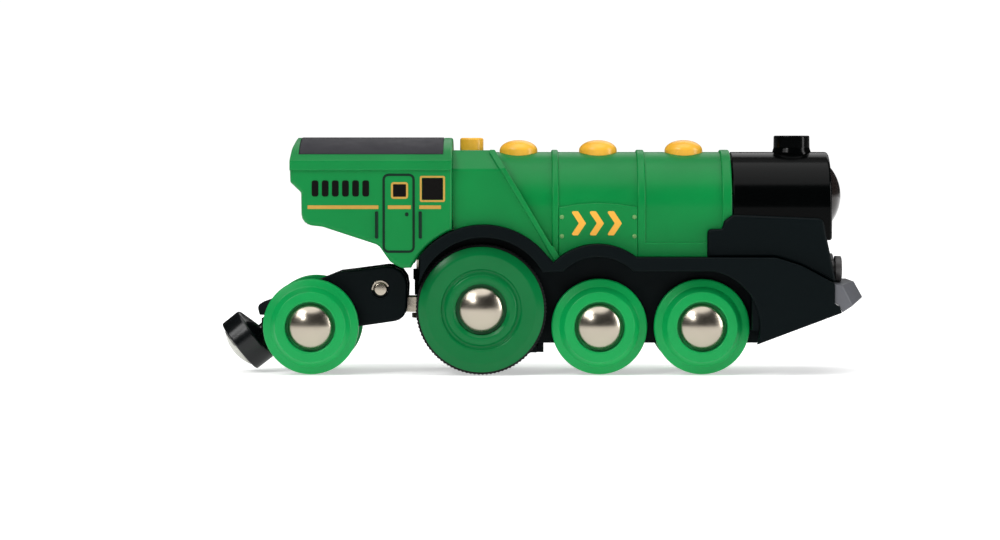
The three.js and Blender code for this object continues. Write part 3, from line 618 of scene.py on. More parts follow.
def make_cab_prints():
    stripes = [rectangle(x0, x1, *LINE_Z) for x0, x1 in LINE_XS]
    window_frames = [
        frame_of(-33.4, -29.6, 39.3, 43.0, 0.45, 0.6),
        frame_of(-27.0, -21.4, 38.6, 44.4, 0.42, 0.4),
    ]
    print_on_sides("cab_orange_lines", stripes + window_frames, CAB_HALF, print_orange)
    panes = [
        rectangle(-33.0, -30.0, 39.7, 42.6, 0.25),
        rectangle(-26.5, -21.9, 39.1, 43.9, 0.15),
    ]
    print_on_sides("cab_windows", panes, CAB_HALF - 0.01, print_black)
    rails = [
        frame_of(-35.3, -28.1, 27.3, 44.9, 0.55, 1.3),
        rectangle(-30.3, -29.5, 35.4, 36.3, 0.35),
    ]
    print_on_sides("cab_door_outline", rails, CAB_HALF, print_dark)
    grips = []
    for x in GRIP_XS:
        for side in SIDES:
            place = (x, side * (CAB_HALF + 0.02), 0)
            grips.append(bar("z", 0.36, 30.5, 36.5, place, rim=0.3, segments=16))
    finish(joined(*grips), "cab_grips", print_dark, "chassis")
    slots = [rectangle(x, x + VENT_WIDTH, 39.8, 43.4, 0.5) for x in VENT_XS]
    print_on_sides("cab_vents", slots, CAB_HALF, print_black)


# ---------------- boiler and firebox

BANDS = ((2.4, 3.9), (21.5, 23.3), (40.4, BOILER_FRONT))
DOMED = ("rear", "middle", "front")
BUTTON_XS = {name: middle(f"button_{name}").x for name in (*DOMED, "small")}
BUTTON_HOLE_R = 4.5
SMALL_BUTTON_HOLE_R = 2.85
FIREBOX_TOP = 50.1
SHELL_LOW = 20  # the arches cut the shell off above this height
RIB_PROUD = 0.45  # how far the rib stands out of the firebox
RIB_FOOT_PROUD = 0.5
RIVET_XS = (4.6, 20.8)
RIVET_ZS = (30.9, 35.2)
CHEVRON_XS = (6.6, 10.6, 14.6)


def tunnel(r, bottom, steps=56):
    """A (y, z) section with the boiler's round top and straight sides."""
    return [(r, bottom), *arc(0, BOILER_Z, r, 0, 180, steps), (-r, bottom)]


def firebox():
    """The squared rear of the boiler, which ends at a diagonal edge."""
    section = [
        (FIREBOX_HALF, SHELL_LOW),
        (FIREBOX_HALF, 45.9, 1),
        (9.9, FIREBOX_TOP, 1.2),
    ]
    side = [
        (BOILER_REAR, 60),
        (BOILER_REAR, SHELL_LOW),
        (7.1, SHELL_LOW),
        (3.7, 26.4),
        (-10.4, FIREBOX_TOP),
        (-10.4, 60),
    ]
    return common(
        along(mirrored(section), BOILER_REAR, 9),
        across(side, -CLEAR_HALF, CLEAR_HALF),
    )


def firebox_rib():
    """The raised rib along the firebox's diagonal edge."""
    half = FIREBOX_HALF + RIB_PROUD
    line = [(3.7, 26.4, 0.3), (-10.4, 50.2, 0.3), (-11.8, 50.2, 0.3), (2.3, 26.4, 0.3)]
    section = [(half, SHELL_LOW), (half, 46, 1), (10, FIREBOX_TOP + RIB_PROUD, 1.2)]
    return common(across(line, -half, half, rim=0.35), along(mirrored(section), -22, 9))


def rib_foot():
    """The wider foot on which the rib meets the running board."""
    half = FIREBOX_HALF + RIB_FOOT_PROUD
    line = [(0.8, 28.8, 0.3), (2.6, 28.8, 0.4), (4.3, 26, 0.4), (2.9, 25.2, 0.3)]
    return across(line, -half, half, rim=0.35)


def side_plate():
    """The riveted plate on each side, with a slightly arched top."""
    plate = [
        (3.9, SHELL_LOW),
        (21.5, SHELL_LOW),
        (21.5, 37.4),
        (17, 38.1, 4),
        (12.7, 38.35, 4),
        (8.4, 38.1, 4),
        (3.9, 37.4),
    ]
    return across(plate, -BAND_R + 0.02, BAND_R - 0.02, rim=0.3)


def boiler_hollow():
    """The room inside the boiler and the firebox."""
    section = [(12.9, SHELL_LOW - 1), (12.9, 43.6), (8.4, 48.5)]
    side = [
        (-17.9, 60),
        (-17.9, SHELL_LOW - 2),
        (5.1, SHELL_LOW - 2),
        (1.7, 26.4),
        (-12.4, FIREBOX_TOP),
        (-12.4, 60),
    ]
    return joined(
        along(tunnel(BOILER_R - WALL, SHELL_LOW - 1), -14, BOILER_FRONT + 1),
        common(along(mirrored(section), -20, 9), across(side, -CLEAR_HALF, CLEAR_HALF)),
    )


def make_boiler():
    body = joined(
        along(tunnel(BOILER_R, SHELL_LOW), -12, BOILER_FRONT, rim=(0, 0.3)),
        firebox(),
        firebox_rib(),
        rib_foot(),
        side_plate(),
        *(along(tunnel(BAND_R, SHELL_LOW), x0, x1, rim=0.35) for x0, x1 in BANDS),
    )
    body = joined(body, box(23, 37, -BAND_R, BAND_R, 26, 29.5, rim=0.3))
    holes = [
        bar("z", BUTTON_HOLE_R, 44, 54, (BUTTON_XS[name], 0, 0), segments=64) for name in DOMED
    ]
    small_place = (BUTTON_XS["small"], 0, 0)
    holes.append(bar("z", SMALL_BUTTON_HOLE_R, 44, 54, small_place, segments=48))
    rear_opening = slab(BOILER_REAR - 1, BOILER_REAR + 3, 9, SHELL_LOW, 47)
    body = cut(body, boiler_hollow(), rear_opening, *holes)
    above_board = [
        *arc(*DRIVE_ARCH, 18.0, 111.5, 38, 24),
        *arc(*MIDDLE_ARCH, 14.1, 134.6, 52.6, 20),
        (BOILER_FRONT + 2, BOARD_TOP + 0.15),
        (BOILER_FRONT + 2, 60),
        (BOILER_REAR - 2, 60),
    ]
    body = common(body, across(above_board, -CLEAR_HALF, CLEAR_HALF))
    finish(body, "boiler", green, "chassis", ["boiler_shell"])


def make_boiler_marks():
    rivets = []
    dome = [(0, -0.3), (0.5, -0.3), (0.5, 0), (0.42, 0.16), (0.25, 0.26), (0, 0.3)]
    for x in RIVET_XS:
        for z in RIVET_ZS:
            for side in SIDES:
                rivets.append(turned(dome, (x, side * (BAND_R - 0.05), z), "y", side, 20))
    finish(joined(*rivets), "boiler_rivets", rivet_green, "chassis")
    chevrons = []
    line = [(0, 36.5), (1.6, 36.5), (3.4, 33.8), (1.6, 31.1), (0, 31.1), (1.8, 33.8)]
    for x in CHEVRON_XS:
        chevrons.append([(x + dx, z, 0.3) for dx, z in line])
    print_on_sides("boiler_chevrons", chevrons, BAND_R - 0.03, chevron_orange)


# ---------------- smokebox, saddle, chimney

SMOKEBOX = (42.9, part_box("smokebox")[1].x / MM)
SMOKEBOX_BOTTOM = 30
LENS_Z = 39.8
LENS_R = 7
LENS_SPHERE_R = 10
CHIMNEY_X = middle("chimney").x


def make_smokebox():
    rear, front = SMOKEBOX
    body = cut(
        along(tunnel(BOILER_R, SMOKEBOX_BOTTOM), rear, front, rim=(0.25, 0.7)),
        along(tunnel(BOILER_R - WALL, SMOKEBOX_BOTTOM - 1), rear - 1, front - WALL),
        bar("x", LENS_R - 0.7, front - 3, front + 1, (0, 0, LENS_Z), segments=64),
        bar("z", 1.8, 46, 52, (CHIMNEY_X, 0, 0)),
    )
    finish(body, "smokebox_drum", gloss_black, "chassis", ["smokebox"])

    rim_height = math.sqrt(LENS_SPHERE_R**2 - LENS_R**2)
    steps = 12
    cap = []
    for k in range(steps, -1, -1):
        r = LENS_R * k / steps
        cap.append((r, math.sqrt(LENS_SPHERE_R**2 - r**2) - rim_height))
    profile = [(0, -2), (LENS_R - 1, -2), (LENS_R - 1, -0.05), (LENS_R, -0.05), *cap]
    lens = turned(profile, (front + 0.15, 0, LENS_Z), "x")
    finish(lens, "headlight_lens", smoked, "chassis", ["smokebox_lens"])


def make_chimney():
    profile = rounded(
        [
            (0, 46.8),
            (1.6, 46.8),
            (1.6, 48.6),
            (4.5, 48.6, 0.2),
            (4.4, 49.6, 0.5),
            (4.1, 50.6, 0.8),
            (4.05, 53.4, 0.35),
            (2.7, 53.4, 0.25),
            (2.6, 51, 0.2),
            (0, 51),
        ]
    )
    place = (CHIMNEY_X, 0, 0)
    drum = bar("x", BOILER_R + 0.05, CHIMNEY_X - 8, CHIMNEY_X + 8, (0, 0, BOILER_Z), segments=96)
    foot_room = cut(drum, bar("z", 1.65, 40, 60, place))
    chimney = cut(turned(profile, place, "z"), foot_room)
    finish(chimney, "chimney_stack", gloss_black, "chassis", ["chimney"])


def make_saddle():
    side = [
        (37, BOARD_TOP + 0.05),
        (52.3, BOARD_TOP + 0.05, 6),
        (57.9, 24.45, 8),
        (61.2, 22.65, 8),
        (NOSE_X, 20.55),
        (65.6, 21.2, 0.5),
        (64.6, 26.1, 6),
        (63.4, 31.5, 6),
        (62.9, 34.9, 1.6),
        (42.6, 35.75, 1.4),
        (40.7, 34.3, 1),
        (40.2, 32.6, 0.4),
        (37, 32.5, 0.9),
    ]
    cradle = SMOKEBOX_BOTTOM - GAP
    body = cut(
        across(side, -SADDLE_HALF, SADDLE_HALF, rim=0.7),
        along(tunnel(BAND_R + 0.1, 15), 36, SMOKEBOX[0] + GAP),
        along(tunnel(BOILER_R + 0.1, cradle), SMOKEBOX[0], 67),
        slab(36, 61.5, SADDLE_HALF - WALL, 15, cradle + 0.1),
    )
    body = joined(
        body,
        slab(48.5, 55.5, SADDLE_HALF - 1, BOARD_TOP + GAP, 28),
        bar("z", 2.4, 23.6, 33, (SADDLE_SCREW_X, 0, 0)),
    )
    screw_hole = bar("z", SADDLE_SCREW_HOLE_R, 20, 31.5, (SADDLE_SCREW_X, 0, 0))
    lamp_holes = [bar("x", 2, 60, 70, (0, side * LAMP_Y, LAMP_Z)) for side in SIDES]
    body = cut(body, screw_hole, *lamp_holes)
    finish(body, "smokebox_saddle", matte_black, "chassis", ["saddle"])


# ---------------- chassis

NOSE_TIP = [(NOSE_X, 16.05), (66.25, 15.5), (66.8, 13.95)]


def running_boards():
    """The boards along both sides, which rise over the wheels, with the fenders' rear ends."""
    board = [
        *arc(*DRIVE_ARCH, 17.9, 143.5, 37.5, 48),
        *arc(*MIDDLE_ARCH, 14, 135, 52.4, 36),
        (52.3, BOARD_TOP, 6),
        (57.9, 24.4, 8),
        (61.2, 22.6, 8),
        (NOSE_X, 20.5),
        (NOSE_X, 17.5),
        (60, 19.4),
        (56, 21.8),
        (51, BOARD_BOTTOM),
        *arc(*MIDDLE_ARCH, 11.2, 45.6, 134.4, 36),
        *arc(*DRIVE_ARCH, 15.1, 29.3, 149, 48),
    ]
    fender_tail = [*arc(*DRIVE_ARCH, 17.9, 143.5, 142, 2), *arc(*DRIVE_ARCH, 15.1, 145, 162.4, 8)]
    return (
        both_sides(board, TUB_INNER, HALF_WIDTH, rim=0.35),
        both_sides(fender_tail, 11.5, HALF_WIDTH, rim=0.35),
    )


def skirts_and_tub():
    """The front skirts, the tub's walls, and a small web behind the drive wheels."""
    skirt = [
        *arc(*FRONT_ARCH, 12.7, -17.4, 79, 32),
        (38.2, 24.5),
        (52, 24.5),
        (57.6, 22.9),
        (61, 21),
        (NOSE_X, 19.5),
        *NOSE_TIP,
    ]
    wall = [
        (-24.5, 4.7),
        (-1, 4.7),
        (-1, 6.9),
        (48.5, 6.9),
        (50.5, 7.9),
        (50.5, 24),
        (21, 24),
        *arc(*MIDDLE_ARCH, 11.8, 47, 133, 12),
        (3, 24),
        *arc(*DRIVE_ARCH, 15.7, 33, 138, 24),
    ]
    web = [(-26, 17), (-24, 17), (-24, 25), (-26, 25)]
    return (
        both_sides(skirt, HALF_WIDTH - 2.2, HALF_WIDTH - 0.02, rim=0.35),
        both_sides(wall, TUB_INNER, TUB_HALF, rim=0.2),
        common(both_sides(web, 9.5, 10.35), across(arc(*DRIVE_ARCH, 16, 90, 270, 24), -12, 12)),
    )


def nose_and_cross_walls():
    """The sloping nose, the deck over the tub, and the walls that cross the engine."""
    slope = [(50, 7.7), *reversed(NOSE_TIP), (50, 9.5)]
    return (
        across(slope, -HALF_WIDTH + 1, HALF_WIDTH - 1),
        slab(62.8, NOSE_X, HALF_WIDTH - 0.01, 14.3, 20.4),
        slab(46.9, 48.5, HALF_WIDTH - 1, 10, 24),
        slab(-5, 58, TUB_HALF, 21.7, BOARD_BOTTOM),
        slab(-24.5, -23, TUB_HALF, 4.7, 19),
    )


def pivot_tongue_and_posts():
    """The truck's pivot on its tongue, two rests for the cells, and the plate's screw posts."""
    return (
        slab(PIVOT_X, -24, 1.9, 20.8, BOARD_BOTTOM),
        bar("z", 1.9, 20.8, BOARD_BOTTOM, (PIVOT_X, 0, 0)),
        bar("z", 1.6, 17.3, 21, (PIVOT_X, 0, 0)),
        slab(7, 9, TUB_HALF, 22, 29.3),
        slab(39, 41, TUB_HALF, 22, 29.3),
        *(bar("z", 2.3, 8.5, 22, (x, 0, 0)) for x in PLATE_SCREW_XS),
    )


def chassis_holes():
    """Holes for the axles, the gear shaft and the screws, and the buffer beam's socket."""
    axles = [middle(f"{name}_axle") for name in ("drive", "middle", "front")]
    return (
        *(bar("y", AXLE_HOLE_R, -12, 12, (centre.x, 0, centre.z)) for centre in axles),
        bar("y", 1.1, -12, 12, (-15, 0, 25.84)),
        bar("z", PIVOT_HOLE_R, 15, 30, (PIVOT_X, 0, 0)),
        bar("z", 3.3, 11.8, 17.2, (PIVOT_X, 0, 0)),
        bar("z", SADDLE_SCREW_HOLE_R, 20, 30, (SADDLE_SCREW_X, 0, 0)),
        *(bar("z", 1.1, 5, 19, (x, 0, 0)) for x in PLATE_SCREW_XS),
        slab(60, 70, 6.3, 16.2, 19.3),
    )


def make_chassis():
    body = joined(
        *running_boards(),
        *skirts_and_tub(),
        *nose_and_cross_walls(),
        *pivot_tongue_and_posts(),
    )
    body = cut(body, *chassis_holes())
    finish(body, "chassis_moulding", matte_black, "chassis", ["chassis_frame"])


def make_buffer_beam():
    """A grey wedge, fuller in its middle than at its two ends."""
    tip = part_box("buffer_beam")[1].x / MM
    base = [(66.4, 15.5), (65.15, 16.1)]
    outer = [(65.15, 20.2), (66.9, 20.15), (69.3, 15.6), (67, 14.05), *base]
    inner = [(65.15, 20.7), (tip - 2, 20.7), (tip, 17.1), (69.6, 15), *base]
    blunt = [(u - 0.25 * (u > 66), v) for u, v in outer]
    stations = [
        (16.5, blunt),
        (16.25, outer),
        (8, inner),
        (-8, inner),
        (-16.25, outer),
        (-16.5, blunt),
    ]
    beam = new_object(stack([[(x, y, z) for x, z in line] for y, line in stations]))
    soften(beam, 0.3)
    beam = joined(beam, slab(62.6, 66, 6, 16.5, 19))
    finish(beam, "buffer_beam_moulding", beam_grey, "chassis", ["buffer_beam"])


def make_front_lamps():
    bezel_profile = rounded(
        [
            (0, -3.4),
            (1.8, -3.4),
            (1.8, -1.5),
            (2.95, -1.5, 0.2),
            (2.95, 0, 0.35),
            (2.35, 0.1, 0.1),
            (2.2, -0.35),
            (0, -0.35),
        ]
    )
    glass_profile = [(0, -0.5), (2.15, -0.5), (2.15, -0.3), (1.8, -0.05), (1, 0.05), (0, 0.08)]
    for name, side in (("left", 1), ("right", -1)):
        node = f"front_lamp_{name}"
        place = (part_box(node)[1].x / MM - 0.1, side * LAMP_Y, LAMP_Z)
        bezel = turned(bezel_profile, place, "x")
        finish(bezel, f"front_lamp_bezel_{name}", lamp_grey, "chassis", [node])
        glass = turned(glass_profile, place, "x", segments=48)
        finish(glass, f"front_lamp_glass_{name}", smoked, "chassis")


# ---------------- wheels

WHEEL_WIDTH = 4.8
WHEEL_INNER = 10.6  # from the middle of the engine to a wheel's inner face
WHEELSETS = ("drive", "middle", "front", "truck")
TYRE_RIBS = 100
TYRE_RIB_HEIGHT = 0.15
DOME_R = 4.95
DOME_RISE = 2.1
DOME_BASE = WHEEL_INNER + WHEEL_WIDTH - 1
ROD_R = 1.5


def make_wheel(set_name, node_side, wheel_profile, material):
    centre = middle(f"{set_name}_axle")
    body = f"{set_name}_wheelset"
    side = 1 if node_side == "left" else -1
    place = (centre.x, side * WHEEL_INNER, centre.z)
    wheel = turned(wheel_profile, place, "y", side, segments=128)
    node = f"{set_name}_wheel_{node_side}"
    finish(wheel, f"{set_name}_wheel_face_{node_side}", material, body, [node])


def make_wheels():
    w = WHEEL_WIDTH
    drive_face = rounded(
        [
            (1.6, 0),
            (12.7, 0),
            (12.7, 3.7),
            (14.0, 3.7, 0.1),
            (14.0, w - 0.65, 0.1),
            (13.85, w - 0.58),
            (12.5, w - 0.09),
            (12.1, w - 0.05, 0.15),
            (9.1, w - 0.1, 0.4),
            (8.8, w - 0.6, 0.3),
            (8.2, w - 0.6, 0.3),
            (7.7, w, 0.5),
            (6.4, w, 0.5),
            (5.7, w - 0.5, 0.2),
            (5.6, w - 2),
            (1.6, w - 2),
        ]
    )
    small_face = rounded(
        [
            (1.6, 0),
            (10.7, 0, 0.3),
            (10.7, w - 2.7, 0.5),
            (8.9, w - 2.2, 0.5),
            (7.8, w - 0.15, 0.4),
            (5.6, w, 0.4),
            (5.5, w - 2),
            (1.6, w - 2),
        ]
    )
    for side in ("left", "right"):
        make_wheel("drive", side, drive_face, green_drive)
        for name in WHEELSETS[1:]:
            make_wheel(name, side, small_face, green_wheel)


def make_tyre(name, side):
    """A rubber tyre with fine ribs across its tread."""
    centre = middle(f"tyre_{name}")
    bm = bmesh.new()
    # Radius, distance from the wheel's inner face, and whether the ribs raise the point.
    across_tread = [
        (12.8, 0.72, False),
        (14.35, 0.8, False),
        (14.45, 0.95, True),
        (14.45, 3.4, True),
        (14.35, 3.55, False),
        (12.8, 3.62, False),
    ]
    per_rib = 4
    count = TYRE_RIBS * per_rib
    rows = []
    for i in range(count):
        angle = 2 * math.pi * i / count
        raised = TYRE_RIB_HEIGHT if i % per_rib in (1, 2) else 0
        row = []
        for r, y, ribbed in across_tread:
            radius = r + raised * ribbed
            point = (radius * math.cos(angle), side * (WHEEL_INNER + y), radius * math.sin(angle))
            row.append(bm.verts.new(point))
        rows.append(row)
    size = len(across_tread)
    for i in range(count):
        here, there = rows[i], rows[(i + 1) % count]
        for j in range(size):
            k = (j + 1) % size
            bm.faces.new((here[j], there[j], there[k], here[k]))
    bm.transform(Matrix.Translation((centre.x, 0, centre.z)))
    tyre = new_object(bm)
    finish(tyre, f"tyre_tread_{name}", rubber, "drive_wheelset", [f"tyre_{name}"])


def dome_profile(base, steps=14):
    """A turned steel dome: a short bevelled edge and a spherical crown."""
    edge = 0.2
    crown = DOME_RISE - edge
    sphere = (DOME_R**2 + crown**2) / (2 * crown)
    points = [(DOME_R - edge / 2, base), (DOME_R, base + edge / 2), (DOME_R, base + edge)]
    for k in range(1, steps + 1):
        r = DOME_R * (1 - k / steps)
        points.append((r, base + DOME_RISE - sphere + math.sqrt(sphere**2 - r**2)))
    return points


def make_axles():
    for name in WHEELSETS:
        centre = middle(f"{name}_axle")
        body = f"{name}_wheelset"
        end = -DOME_BASE - 0.4
        rod = [(0, end), (ROD_R - 0.15, end), (ROD_R, end + 0.15), (ROD_R, DOME_BASE)]
        place = (centre.x, 0, centre.z)
        axle = turned([*rod, *dome_profile(DOME_BASE)], place, "y", segments=96)
        finish(axle, f"{name}_axle_rod", steel, body, [f"{name}_axle"])
        socket = [(0, 0.6), (ROD_R + 0.1, 0.6), (ROD_R + 0.1, 0)]
        cap = turned([*socket, *dome_profile(0)], (centre.x, -DOME_BASE, centre.z), "y", -1, 96)
        finish(cap, f"{name}_hub_cap", steel, body, [f"{name}_axle_cap"])


# ---------------- buttons


def make_buttons():
    flange = [(0, 45.7), (4.9, 45.7), (4.9, 46.5), (4.3, 46.5)]
    dome = [(4.3 * u, 50 + 2.4 * v) for u, v in arc(0, 0, 1, 0, 90, 14)]
    profile = [*flange, *dome[:-1], (0, 52.4)]
    for name in DOMED:
        button = turned(profile, (BUTTON_XS[name], 0, 0), "z")
        body = f"button_{name}"
        finish(button, f"push_button_{name}", orange, body, [body])
    profile = rounded(
        [(0, 45.7), (3.65, 45.7), (3.65, 46.5), (2.65, 46.5), (2.65, 52.9, 0.5), (0, 52.9)]
    )
    button = turned(profile, (BUTTON_XS["small"], 0, 0), "z")
    body = "button_small"
    finish(button, "push_button_small", orange, body, [body])


# ---------------- truck and coupler

COUPLER_X = middle("coupler_pin").x
COUPLER_Z = middle("coupler_pin").z
DROOP = math.radians(38)
KNUCKLE_X = middle("knuckle_pin").x
PITCH = (-36, 18.9)  # the pitch pin's centre, x and z
PITCH_PLACE = (PITCH[0], 0, PITCH[1])
TRUCK_AXLE_PLACE = (-51.5, 0, 10.7)
TRUCK_HALF = 9.3
CUP_BACK = 3.4
CUP_FACE = 8.3
CUP_R = 6.5
MAGNET_R = 4.9
MAGNET_SPHERE_R = 9.2
MAGNET_RISE = 1.7


def make_truck():
    side = [
        (-64.2, 15.2, 1.2),
        (-63.5, 12.7, 1),
        (-60.8, 9.8, 1),
        (-58.2, 8, 1),
        (-46, 8, 1),
        (-40.6, 10.6, 1.5),
        (-30.2, 12.1, 3.2),
        (-29.7, 24.75, 4.3),
        (-42.8, 23, 0.5),
        (-45.4, 22.7, 1.5),
        (-50.3, 20.7, 1.5),
        (-60.6, 16.5, 1),
    ]
    plan_half = [(-64.2, 3, 1), (-57.5, TRUCK_HALF, 1), (-29, TRUCK_HALF, 1)]
    plan = [*plan_half, *((x, -y, radius) for x, y, radius in reversed(plan_half))]
    body = common(across(side, -TRUCK_HALF, TRUCK_HALF, rim=0.6), upright(plan, 0, 30))
    step = [(-43.1, 0), (-62, 0), (-62, 30), (-43.1, 30)]
    body = cut(
        body,
        slab(-41, -28, 4.6, 5, 30),
        slab(-66, KNUCKLE_X + 2.5, 10, 9.1, 12.9),
        slab(-66, KNUCKLE_X - 1.7, 10, 5, 12.9),
        across(step, 9.05, 12),
        across(step, -12, -9.05),
        bar("y", AXLE_HOLE_R, -12, 12, TRUCK_AXLE_PLACE),
        bar("y", 2.1, 8.6, 12, PITCH_PLACE),
        bar("y", 2.1, -12, -8.6, PITCH_PLACE),
        bar("y", 1.6, -12, 12, PITCH_PLACE),
        bar("z", 0.9, 5, 14.8, (KNUCKLE_X, 0, 0)),
    )
    finish(body, "truck_moulding", matte_black, "truck", ["truck_frame"])


def make_truck_steel():
    """The pitch pin with its two clips, and the drawbar that it runs through."""
    pin = bar("y", 1.5, -9.1, 9.1, PITCH_PLACE, rim=0.35, segments=48)
    finish(pin, "truck_pitch_pin", steel, "truck", ["pitch_pin"])
    clip_line = [*arc(*PITCH, 2.05, 20, 185, 20), *arc(*PITCH, 1.6, 185, 20, 20)]
    clips = both_sides(clip_line, 8.7, 9.25, rim=0.12)
    finish(clips, "truck_pin_clips", steel, "truck")

    low, high = 13.5, 17.1
    tongue = [(-27, low), (-27, high), (-33, high), (-34, low)]
    rear = [
        (-31.8, low),
        (-31.8, high + 0.4),
        *arc(*PITCH, 3, 40, 200, 20),
        (-37.2, 15),
        (-35.5, low),
    ]
    link = joined(
        bar("z", 2.9, low, high, (PIVOT_X, 0, 0), rim=0.3),
        across(tongue, -2.6, 2.6, rim=0.25),
        across(rear, -4.2, 4.2, rim=0.3),
    )
    link = cut(
        link,
        bar("z", PIVOT_HOLE_R, 10, 20, (PIVOT_X, 0, 0)),
        bar("y", 1.65, -6, 6, PITCH_PLACE),
    )
    finish(link, "steel_drawbar", steel, "drawbar", ["drawbar"])


def make_coupler():
    direction = Vector((-math.cos(DROOP), 0, -math.sin(DROOP)))
    sideways = Vector((0, 1, 0))
    upwards = direction.cross(sideways)
    turn = Matrix((upwards, sideways, direction)).transposed()
    origin = (COUPLER_X, 0, COUPLER_Z)
    bed = CUP_FACE - 2.3
    cup_profile = rounded(
        [
            (0, 0),
            (1.2, 0),
            (1.2, CUP_BACK - 1.6),
            (2.6, CUP_BACK - 1.2, 0.3),
            (CUP_R, CUP_BACK, 0.7),
            (CUP_R - 0.06, CUP_FACE - 0.05, 0.4),
            (MAGNET_R + 0.25, CUP_FACE, 0.15),
            (MAGNET_R + 0.2, bed),
            (0, bed),
        ]
    )
    cup = turned(cup_profile, origin, turn, segments=96)
    cup = joined(cup, bar("y", 1.5, -1.15, 1.15, origin))
    cup = cut(cup, bar("y", 0.85, -3, 3, origin))
    finish(cup, "coupler_cup_moulding", coupler_black, "coupler", ["coupler_cup"])

    magnet_profile = [(0, bed + 0.02), (MAGNET_R, bed + 0.02), (MAGNET_R, CUP_FACE - 0.15)]
    sphere_centre = CUP_FACE + MAGNET_RISE - MAGNET_SPHERE_R
    steps = 12
    for k in range(steps + 1):
        r = (MAGNET_R - 0.1) * (1 - k / steps)
        magnet_profile.append((r, sphere_centre + math.sqrt(MAGNET_SPHERE_R**2 - r**2)))
    magnet = turned(magnet_profile, origin, turn, segments=96)
    finish(magnet, "coupler_magnet_face", zinc, "coupler", ["coupler_magnet"])


# ---------------- nodes that keep their shape

# Most of these are inside, and show only where a shell is taken off.
KEPT = {
    "bottom_plate": matte_black,
    "knuckle": matte_black,
    "speaker": gloss_black,
    "headlight_led": gear_white,
    "axle_gear": gear_white,
    "compound_gear": gear_white,
    "worm": brass,
    "motor": zinc,
    "battery_left": jacket,
    "battery_right": jacket,
    "circuit_board": board_green,
}
STEEL_NODES = (
    "plate_screw_rear",
    "plate_screw_front",
    "saddle_screw",
    "pivot_screw",
    "gear_shaft",
    "battery_contact_rear",
    "battery_contact_front",
    "knuckle_pin",
    "coupler_pin",
)


def dress_kept_nodes():
    """Gives a material to every CAD node whose own shape stays."""
    dressed = KEPT | {name: steel for name in STEEL_NODES}
    for name, material in dressed.items():
        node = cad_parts[name]
        for slot in node.material_slots:
            slot.material = material


# ---------------- stage, light, camera

FLOOR_RADIUS = 1.6
FLOOR_DROP = 0.0002  # keeps the floor just under the wheels
FLOOR_WHITE = (0.92, 0.92, 0.92, 1)
FLOOR_GLOW = 0.5
ROOM_LEVELS = ((0.0, 0.6), (0.5, 0.6), (0.51, 0.04), (0.84, 0.04), (0.92, 0.2), (1.0, 0.25))
BACKDROP_LEVEL = 1.05
SUN_POWER = 1.36
SUN_SPREAD = math.radians(60)
SUN_TILT = math.radians(12)  # towards the camera's side
SENSOR_MM = 36
LENS_MM = 118
CAMERA_PLACE = Vector((-0.0092, -0.744, 0.050))
CAMERA_AIM = Vector((-0.0092, 0, 0.0229))


def make_stage():
    """A plain white floor, just under the wheels."""
    bm = bmesh.new()
    bmesh.ops.create_circle(bm, cap_ends=True, segments=64, radius=FLOOR_RADIUS)
    floor = new_object(bm, "floor")
    material = bpy.data.materials.new("floor_white")
    material.use_nodes = True
    shader = material.node_tree.nodes["Principled BSDF"]
    shader.inputs["Base Color"].default_value = FLOOR_WHITE
    shader.inputs["Roughness"].default_value = 0.9
    shader.inputs["Specular IOR Level"].default_value = 0.1
    shader.inputs["Emission Color"].default_value = (1, 1, 1, 1)
    shader.inputs["Emission Strength"].default_value = FLOOR_GLOW
    floor.data.materials.append(material)
    floor.location.z = -FLOOR_DROP


def make_world():
    """White to the camera; the room that lights the engine is dark at mid height."""
    world = bpy.data.worlds.new("studio")
    bpy.context.scene.world = world
    world.use_nodes = True
    nodes, links = world.node_tree.nodes, world.node_tree.links
    nodes.clear()
    coords = nodes.new("ShaderNodeTexCoord")
    split = nodes.new("ShaderNodeSeparateXYZ")
    links.new(coords.outputs["Generated"], split.inputs[0])
    ramp = nodes.new("ShaderNodeValToRGB")
    elements = ramp.color_ramp.elements
    while len(elements) < len(ROOM_LEVELS):
        elements.new(0.5)
    for element, (position, level) in zip(elements, ROOM_LEVELS):
        element.position = position
        element.color = (level, level, level, 1)
    spread = nodes.new("ShaderNodeMapRange")
    spread.inputs["From Min"].default_value = -1
    links.new(split.outputs["Z"], spread.inputs["Value"])
    links.new(spread.outputs[0], ramp.inputs[0])
    room = nodes.new("ShaderNodeBackground")
    links.new(ramp.outputs["Color"], room.inputs["Color"])
    plain = nodes.new("ShaderNodeBackground")
    plain.inputs["Color"].default_value = (1, 1, 1, 1)
    plain.inputs["Strength"].default_value = BACKDROP_LEVEL
    rays = nodes.new("ShaderNodeLightPath")
    choose = nodes.new("ShaderNodeMixShader")
    links.new(rays.outputs["Is Camera Ray"], choose.inputs[0])
    links.new(room.outputs[0], choose.inputs[1])
    links.new(plain.outputs[0], choose.inputs[2])
    output = nodes.new("ShaderNodeOutputWorld")
    links.new(choose.outputs[0], output.inputs["Surface"])


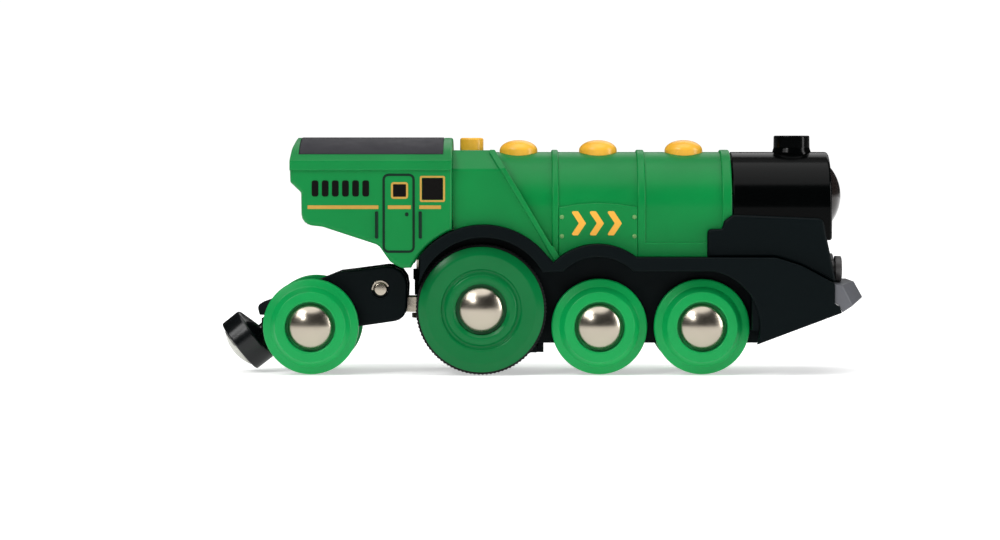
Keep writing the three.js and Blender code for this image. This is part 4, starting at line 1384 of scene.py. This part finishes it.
LIGHTS_AIM = Vector((0, 0, 0.03))
AREA_LIGHTS = (  # name, place and size in metres, power in watts
    ("key", (-0.66, -0.62, 0.8), (0.54, 0.46), 4.7),
    ("kicker", (-0.57, -0.93, 0.62), (0.2, 0.17), 2.0),
    ("strip", (1.1, -0.28, 0.38), (0.25, 0.8), 6),
    ("top", (0.1, 0.1, 1.3), (1.3, 0.9), 0.8),
    ("back", (0.3, 1.0, 0.8), (1.0, 0.6), 2.5),
)


def area_light(name, place, size, power):
    light = bpy.data.lights.new(name, "AREA")
    light.shape = "RECTANGLE"
    light.size, light.size_y = size
    light.energy = power
    lamp = bpy.data.objects.new(name, light)
    bpy.context.scene.collection.objects.link(lamp)
    lamp.location = place
    lamp.rotation_euler = (LIGHTS_AIM - Vector(place)).to_track_quat("-Z", "Y").to_euler()


def make_lights():
    for name, place, size, power in AREA_LIGHTS:
        area_light(name, place, size, power)
    sun = bpy.data.lights.new("sky", "SUN")
    sun.energy = SUN_POWER
    sun.angle = SUN_SPREAD
    sky = bpy.data.objects.new("sky", sun)
    sky.rotation_euler.x = SUN_TILT
    bpy.context.scene.collection.objects.link(sky)


def make_camera():
    camera = bpy.data.cameras.new("camera")
    camera.sensor_width = SENSOR_MM
    camera.lens = LENS_MM
    camera.clip_start = 0.01
    eye = bpy.data.objects.new("camera", camera)
    bpy.context.scene.collection.objects.link(eye)
    eye.location = CAMERA_PLACE
    eye.rotation_euler = (CAMERA_AIM - CAMERA_PLACE).to_track_quat("-Z", "Y").to_euler()
    bpy.context.scene.camera = eye


make_camera()
make_stage()
make_world()
make_lights()
bpy.context.scene.view_settings.view_transform = "Standard"

make_cab()
make_cab_prints()
make_boiler()
make_boiler_marks()
make_smokebox()
make_chimney()
make_saddle()
make_chassis()
make_buffer_beam()
make_front_lamps()
make_wheels()
for tyre_name, tyre_side in (("left", 1), ("right", -1)):
    make_tyre(tyre_name, tyre_side)
make_axles()
make_buttons()
make_truck()
make_truck_steel()
make_coupler()
dress_kept_nodes()
